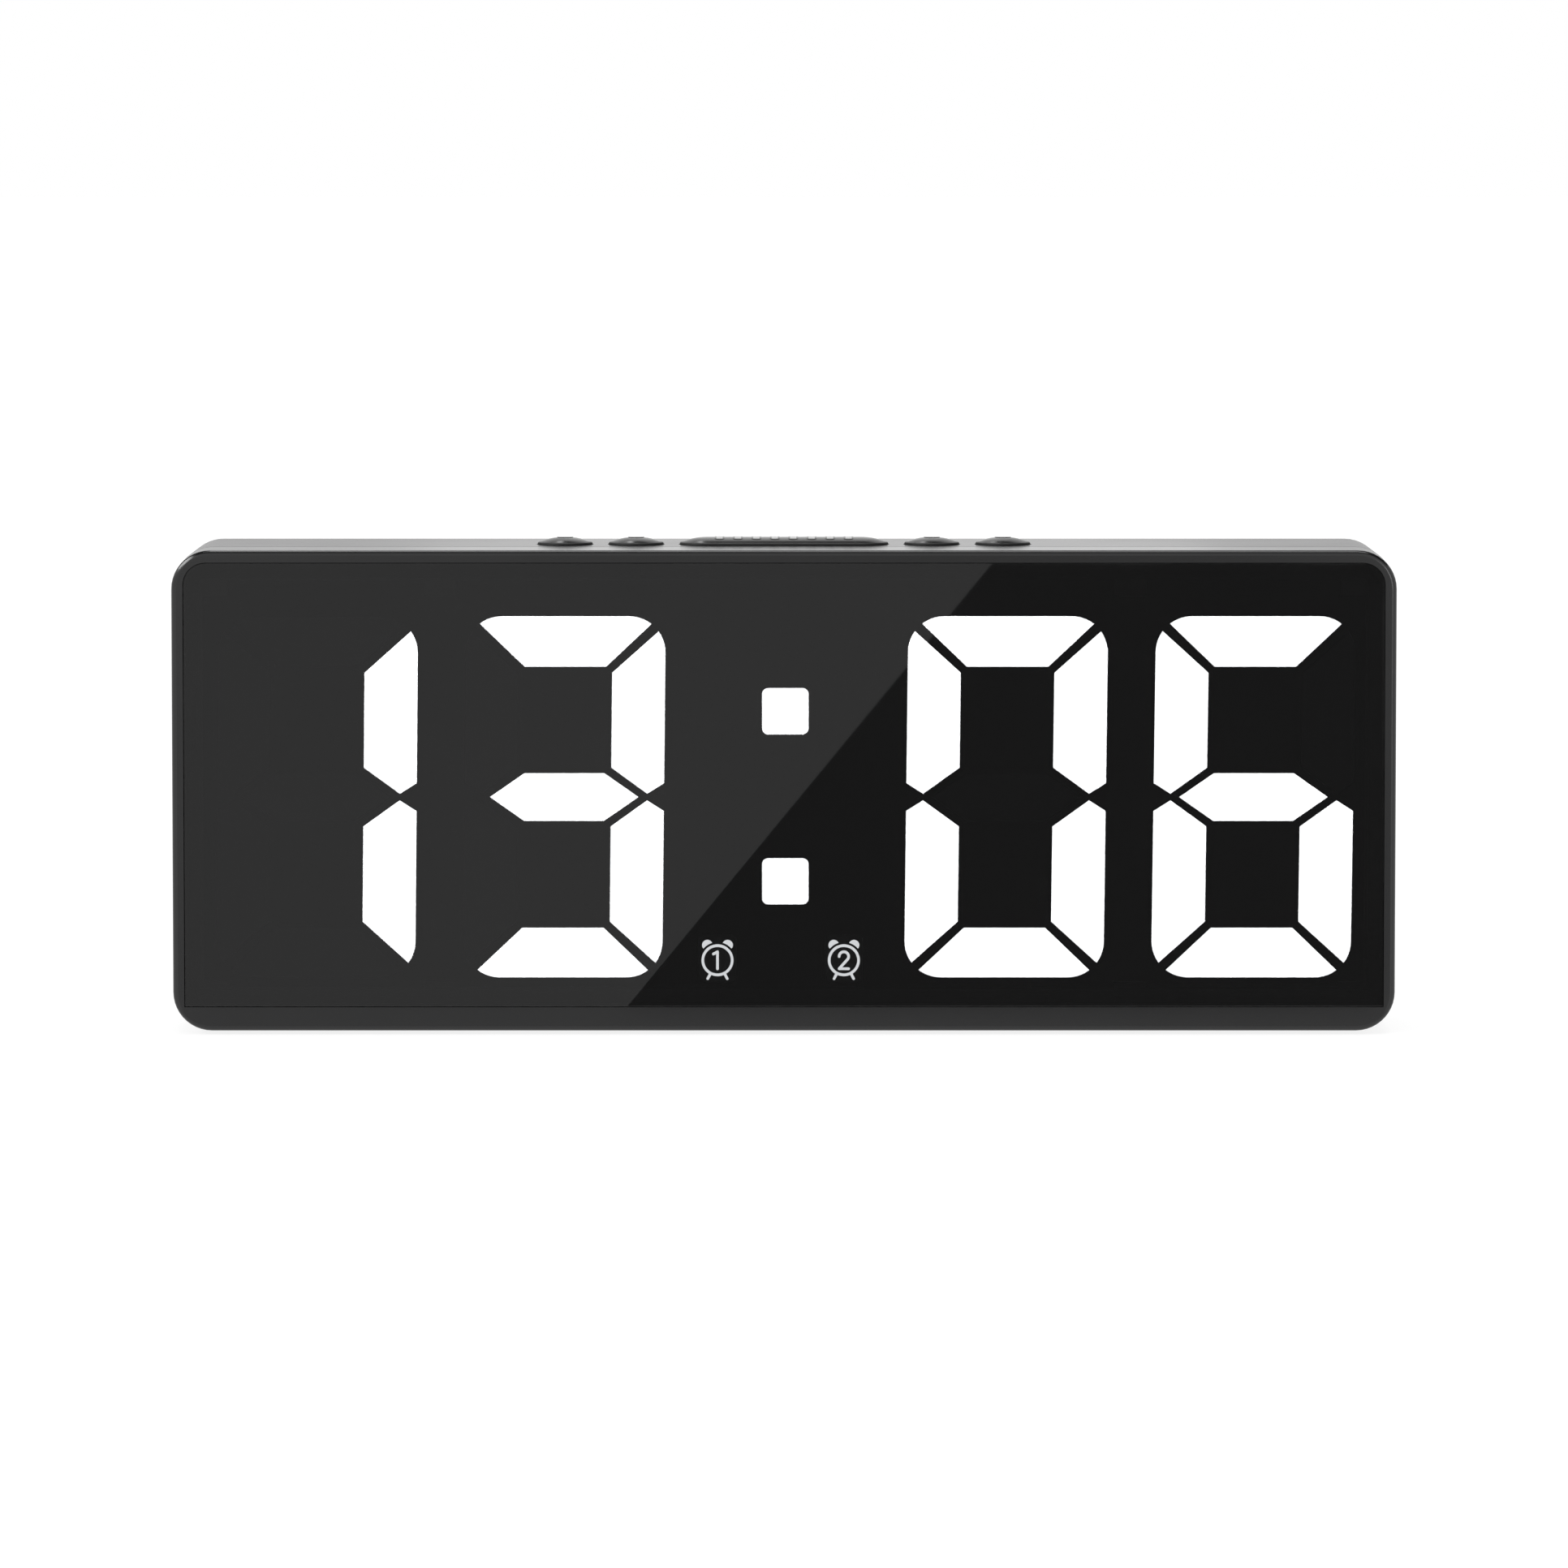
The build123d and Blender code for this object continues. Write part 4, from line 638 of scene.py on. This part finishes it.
# %% Ribbon
wave_scale, rib_depth = 260.0, 0.05 * mm
ribbon_grey = Finish("ribbon_grey", Roughness=0.45)
waves = {"Vector": ribbon_grey.place(), "Scale": wave_scale}
ribs = ribbon_grey.add("ShaderNodeTexWave", {"bands_direction": "X"}, waves)
ribbon_grey.paint(
    Base_Color=ribbon_grey.between(ribs, grey(0.25), grey(0.4)),
    Normal=ribbon_grey.relief(ribs, rib_depth),
)
print("ribbon ready")

# %% [markdown]
# The three cells have a plain printed sleeve, blue with a pale band at the plus end, and bare metal
# at both ends. The middle cell lies the other way round, as cells in a row do. Three materials would
# do for that, but one can serve all: a mask by height finds the middle cell and swaps its band.

# %% Cells
inner_end, outer_end = -16.4, -59.6
band_start, turned_band_start = -30, -46
cell_wrap = Finish("cell_wrap")
low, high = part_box("middle_cell")
cell_x, cell_z = cell_wrap.axis("X"), cell_wrap.axis("Z")
turned = (cell_z > low.z / mm) * (cell_z < high.z / mm)
bare_ends = (cell_x > inner_end) | (cell_x < outer_end)
band = (1 - turned) * (cell_x > band_start) + turned * (cell_x < turned_band_start)
sleeve = cell_wrap.between(band, (0.02, 0.09, 0.16), (0.5, 0.5, 0.48))
cell_wrap.paint(
    Base_Color=cell_wrap.between(bare_ends, sleeve, (0.75, 0.75, 0.73)),
    Metallic=bare_ends,
    Roughness=0.3 + 0.1 * cell_wrap.noise(3 * mm),
)
print("middle cell from z =", round(low.z / mm, 2), "to", round(high.z / mm, 2), "mm")

# %% [markdown]
# Two small things are missing from the solids: the gilded contacts on the tongue of the power socket,
# and the thin foam pad that keeps the cells from rattling behind their door. Both are flat plates, so
# both start as a grid of one face. Extruding it gives it a thickness, and bevelling rounds its upright
# corners. A cube primitive would be quicker, but its hard corners catch no light.

# %% Rounded plates
def verts_of(geometry):
    return [part for part in geometry if isinstance(part, bmesh.types.BMVert)]


def rounded_plate(width, depth, thickness, corner):
    """A plate in the XY plane with its foot at zero and round upright corners."""
    plate = bmesh.new()
    bmesh.ops.create_grid(plate, x_segments=1, y_segments=1, size=0.5)
    bmesh.ops.scale(plate, vec=(width, depth, 1), verts=plate.verts)
    lifted = bmesh.ops.extrude_face_region(plate, geom=plate.faces[:])["geom"]
    bmesh.ops.translate(plate, vec=(0, 0, thickness), verts=verts_of(lifted))
    upright = [e for e in plate.edges if abs(e.verts[0].co.z - e.verts[1].co.z) > thickness / 2]
    rounding = {"offset": corner, "offset_type": "OFFSET", "segments": 4, "profile": 0.5}
    bmesh.ops.bevel(plate, geom=upright, affect="EDGES", material=-1, **rounding)
    bmesh.ops.recalc_face_normals(plate, faces=plate.faces)
    return plate


def finished(name, shape, finish, body):
    """Makes the shape a piece with this finish that rides on a body."""
    mesh = bpy.data.meshes.new(name)
    shape.to_mesh(mesh)
    shape.free()
    mesh.materials.append(finish.material)
    piece = bpy.data.objects.new(name, mesh)
    scene.collection.objects.link(piece)
    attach(piece, body)
    print(name, "has", len(mesh.polygons), "faces")


print("plate helpers ready")

# %% [markdown]
# The socket's tongue carries twelve thin gilded contacts above and twelve below. An Array and a
# Mirror modifier could repeat them, but a short loop of copies says the same and leaves a plain mesh.
# So one contact is made, copied along X, and the whole row is copied once more upside down. That
# turns the lower copies inside out, so the normals are recalculated at the end.

# %% Socket contacts
contact_count, contact_pitch, contact_corner = 12, 0.5 * mm, 0.1 * mm
contact_width, contact_length, contact_height = 0.26 * mm, 2.6 * mm, 0.04 * mm
contact_inset, tongue_half = 0.3 * mm, 0.35 * mm
contacts = rounded_plate(contact_width, contact_length, contact_height, contact_corner)
row_start = (1 - contact_count) / 2 * contact_pitch
bmesh.ops.translate(contacts, vec=(row_start, 0, tongue_half), verts=contacts.verts)
first = contacts.faces[:]
for number in range(1, contact_count):
    copy = bmesh.ops.duplicate(contacts, geom=first)["geom"]
    bmesh.ops.translate(contacts, vec=(number * contact_pitch, 0, 0), verts=verts_of(copy))
lower_row = bmesh.ops.duplicate(contacts, geom=contacts.faces[:])["geom"]
bmesh.ops.scale(contacts, vec=(1, 1, -1), verts=verts_of(lower_row))

tongue = middle_of("usb_socket_tongue")
tongue.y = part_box("usb_socket_tongue")[1].y - contact_inset - contact_length / 2
bmesh.ops.translate(contacts, vec=tongue, verts=contacts.verts)
bmesh.ops.recalc_face_normals(contacts, faces=contacts.faces)
gilded = brushed("gilded", (0.86, 0.66, 0.3), roughness=0.25)
finished("socket_contacts", contacts, gilded, "case")

# %% [markdown]
# The foam pad is glued to the inner face of the battery door and swings with it, so it rides on the
# door's body. The plate is made lying down and then turned upright.

# %% Door pad
pad_width, pad_height, pad_thickness, pad_corner, door_plate = 30 * mm, 16 * mm, 0.3 * mm, 2 * mm, 1.6 * mm
pad = rounded_plate(pad_width, pad_height, pad_thickness, pad_corner)
upright_turn = Matrix.Rotation(math.radians(90), 3, "X")
bmesh.ops.rotate(pad, cent=(0, 0, 0), matrix=upright_turn, verts=pad.verts)
pad_place = middle_of("battery_door")
pad_place.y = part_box("battery_door")[1].y - door_plate
bmesh.ops.translate(pad, vec=pad_place, verts=pad.verts)
foam_grey = speckled("foam_grey", grey(0.03), grey(0.07), size=0.25 * mm, roughness=0.9, depth=0.05 * mm)
finished("door_foam_pad", pad, foam_grey, "battery_door")

# %% [markdown]
# Each solid gets its finish by name. A table of finishes and names is easier to check than a line of
# code for each solid. Their meshes and places are left alone.

# %% Dress the solids
dressing = {
    satin_black: ["front_frame"],
    grained_black: ["rear_shell", "battery_door"],
    key_black: [name for name in solids if name.endswith("_key")],
    smoked_lens: ["front_lens"],
    tape_black: ["lens_tape"],
    mask_black: ["display_mask"],
    reflector_white: ["display_reflector"],
    lit_white: [
        "hour_tens_segments", "hour_units_segments", "minute_tens_segments", "minute_units_segments", "colon_dots",
    ],
    unlit_grey: ["unlit_segments"],
    icon_face: ["alarm_one_icon", "alarm_two_icon"],
    board_green: ["main_board", "key_board", "power_board"],
    led_yellow: ["segment_leds"],
    chip_black: ["control_chip"],
    tinned_metal: [
        "clock_crystal", "usb_socket_shell", "contact_minus", "contact_plus", "contact_link_left",
        "contact_link_right",
    ],
    screw_steel: ["case_screws", "board_screws", "key_board_screws", "power_board_screws"],
    capacitor_sleeve: ["filter_capacitor"],
    buzzer_black: ["buzzer"],
    switch_black: ["switch_bodies"],
    plunger_red: [name for name in solids if name.endswith("_plunger")],
    wire_red: ["battery_lead_red"],
    wire_black: ["battery_lead_black", "buzzer_leads", "power_leads"],
    ribbon_grey: ["key_board_lead"],
    cell_wrap: ["lower_cell", "middle_cell", "upper_cell"],
    foot_rubber: ["foot_pads"],
    tongue_black: ["usb_socket_tongue"],
}
dressed = set()
for finish, names in dressing.items():
    for name in names:
        for slot in solids[name].material_slots:
            slot.material = finish.material
        dressed.add(name)
print(len(dressed), "of", len(solids), "solids dressed, left:", sorted(set(solids) - dressed))
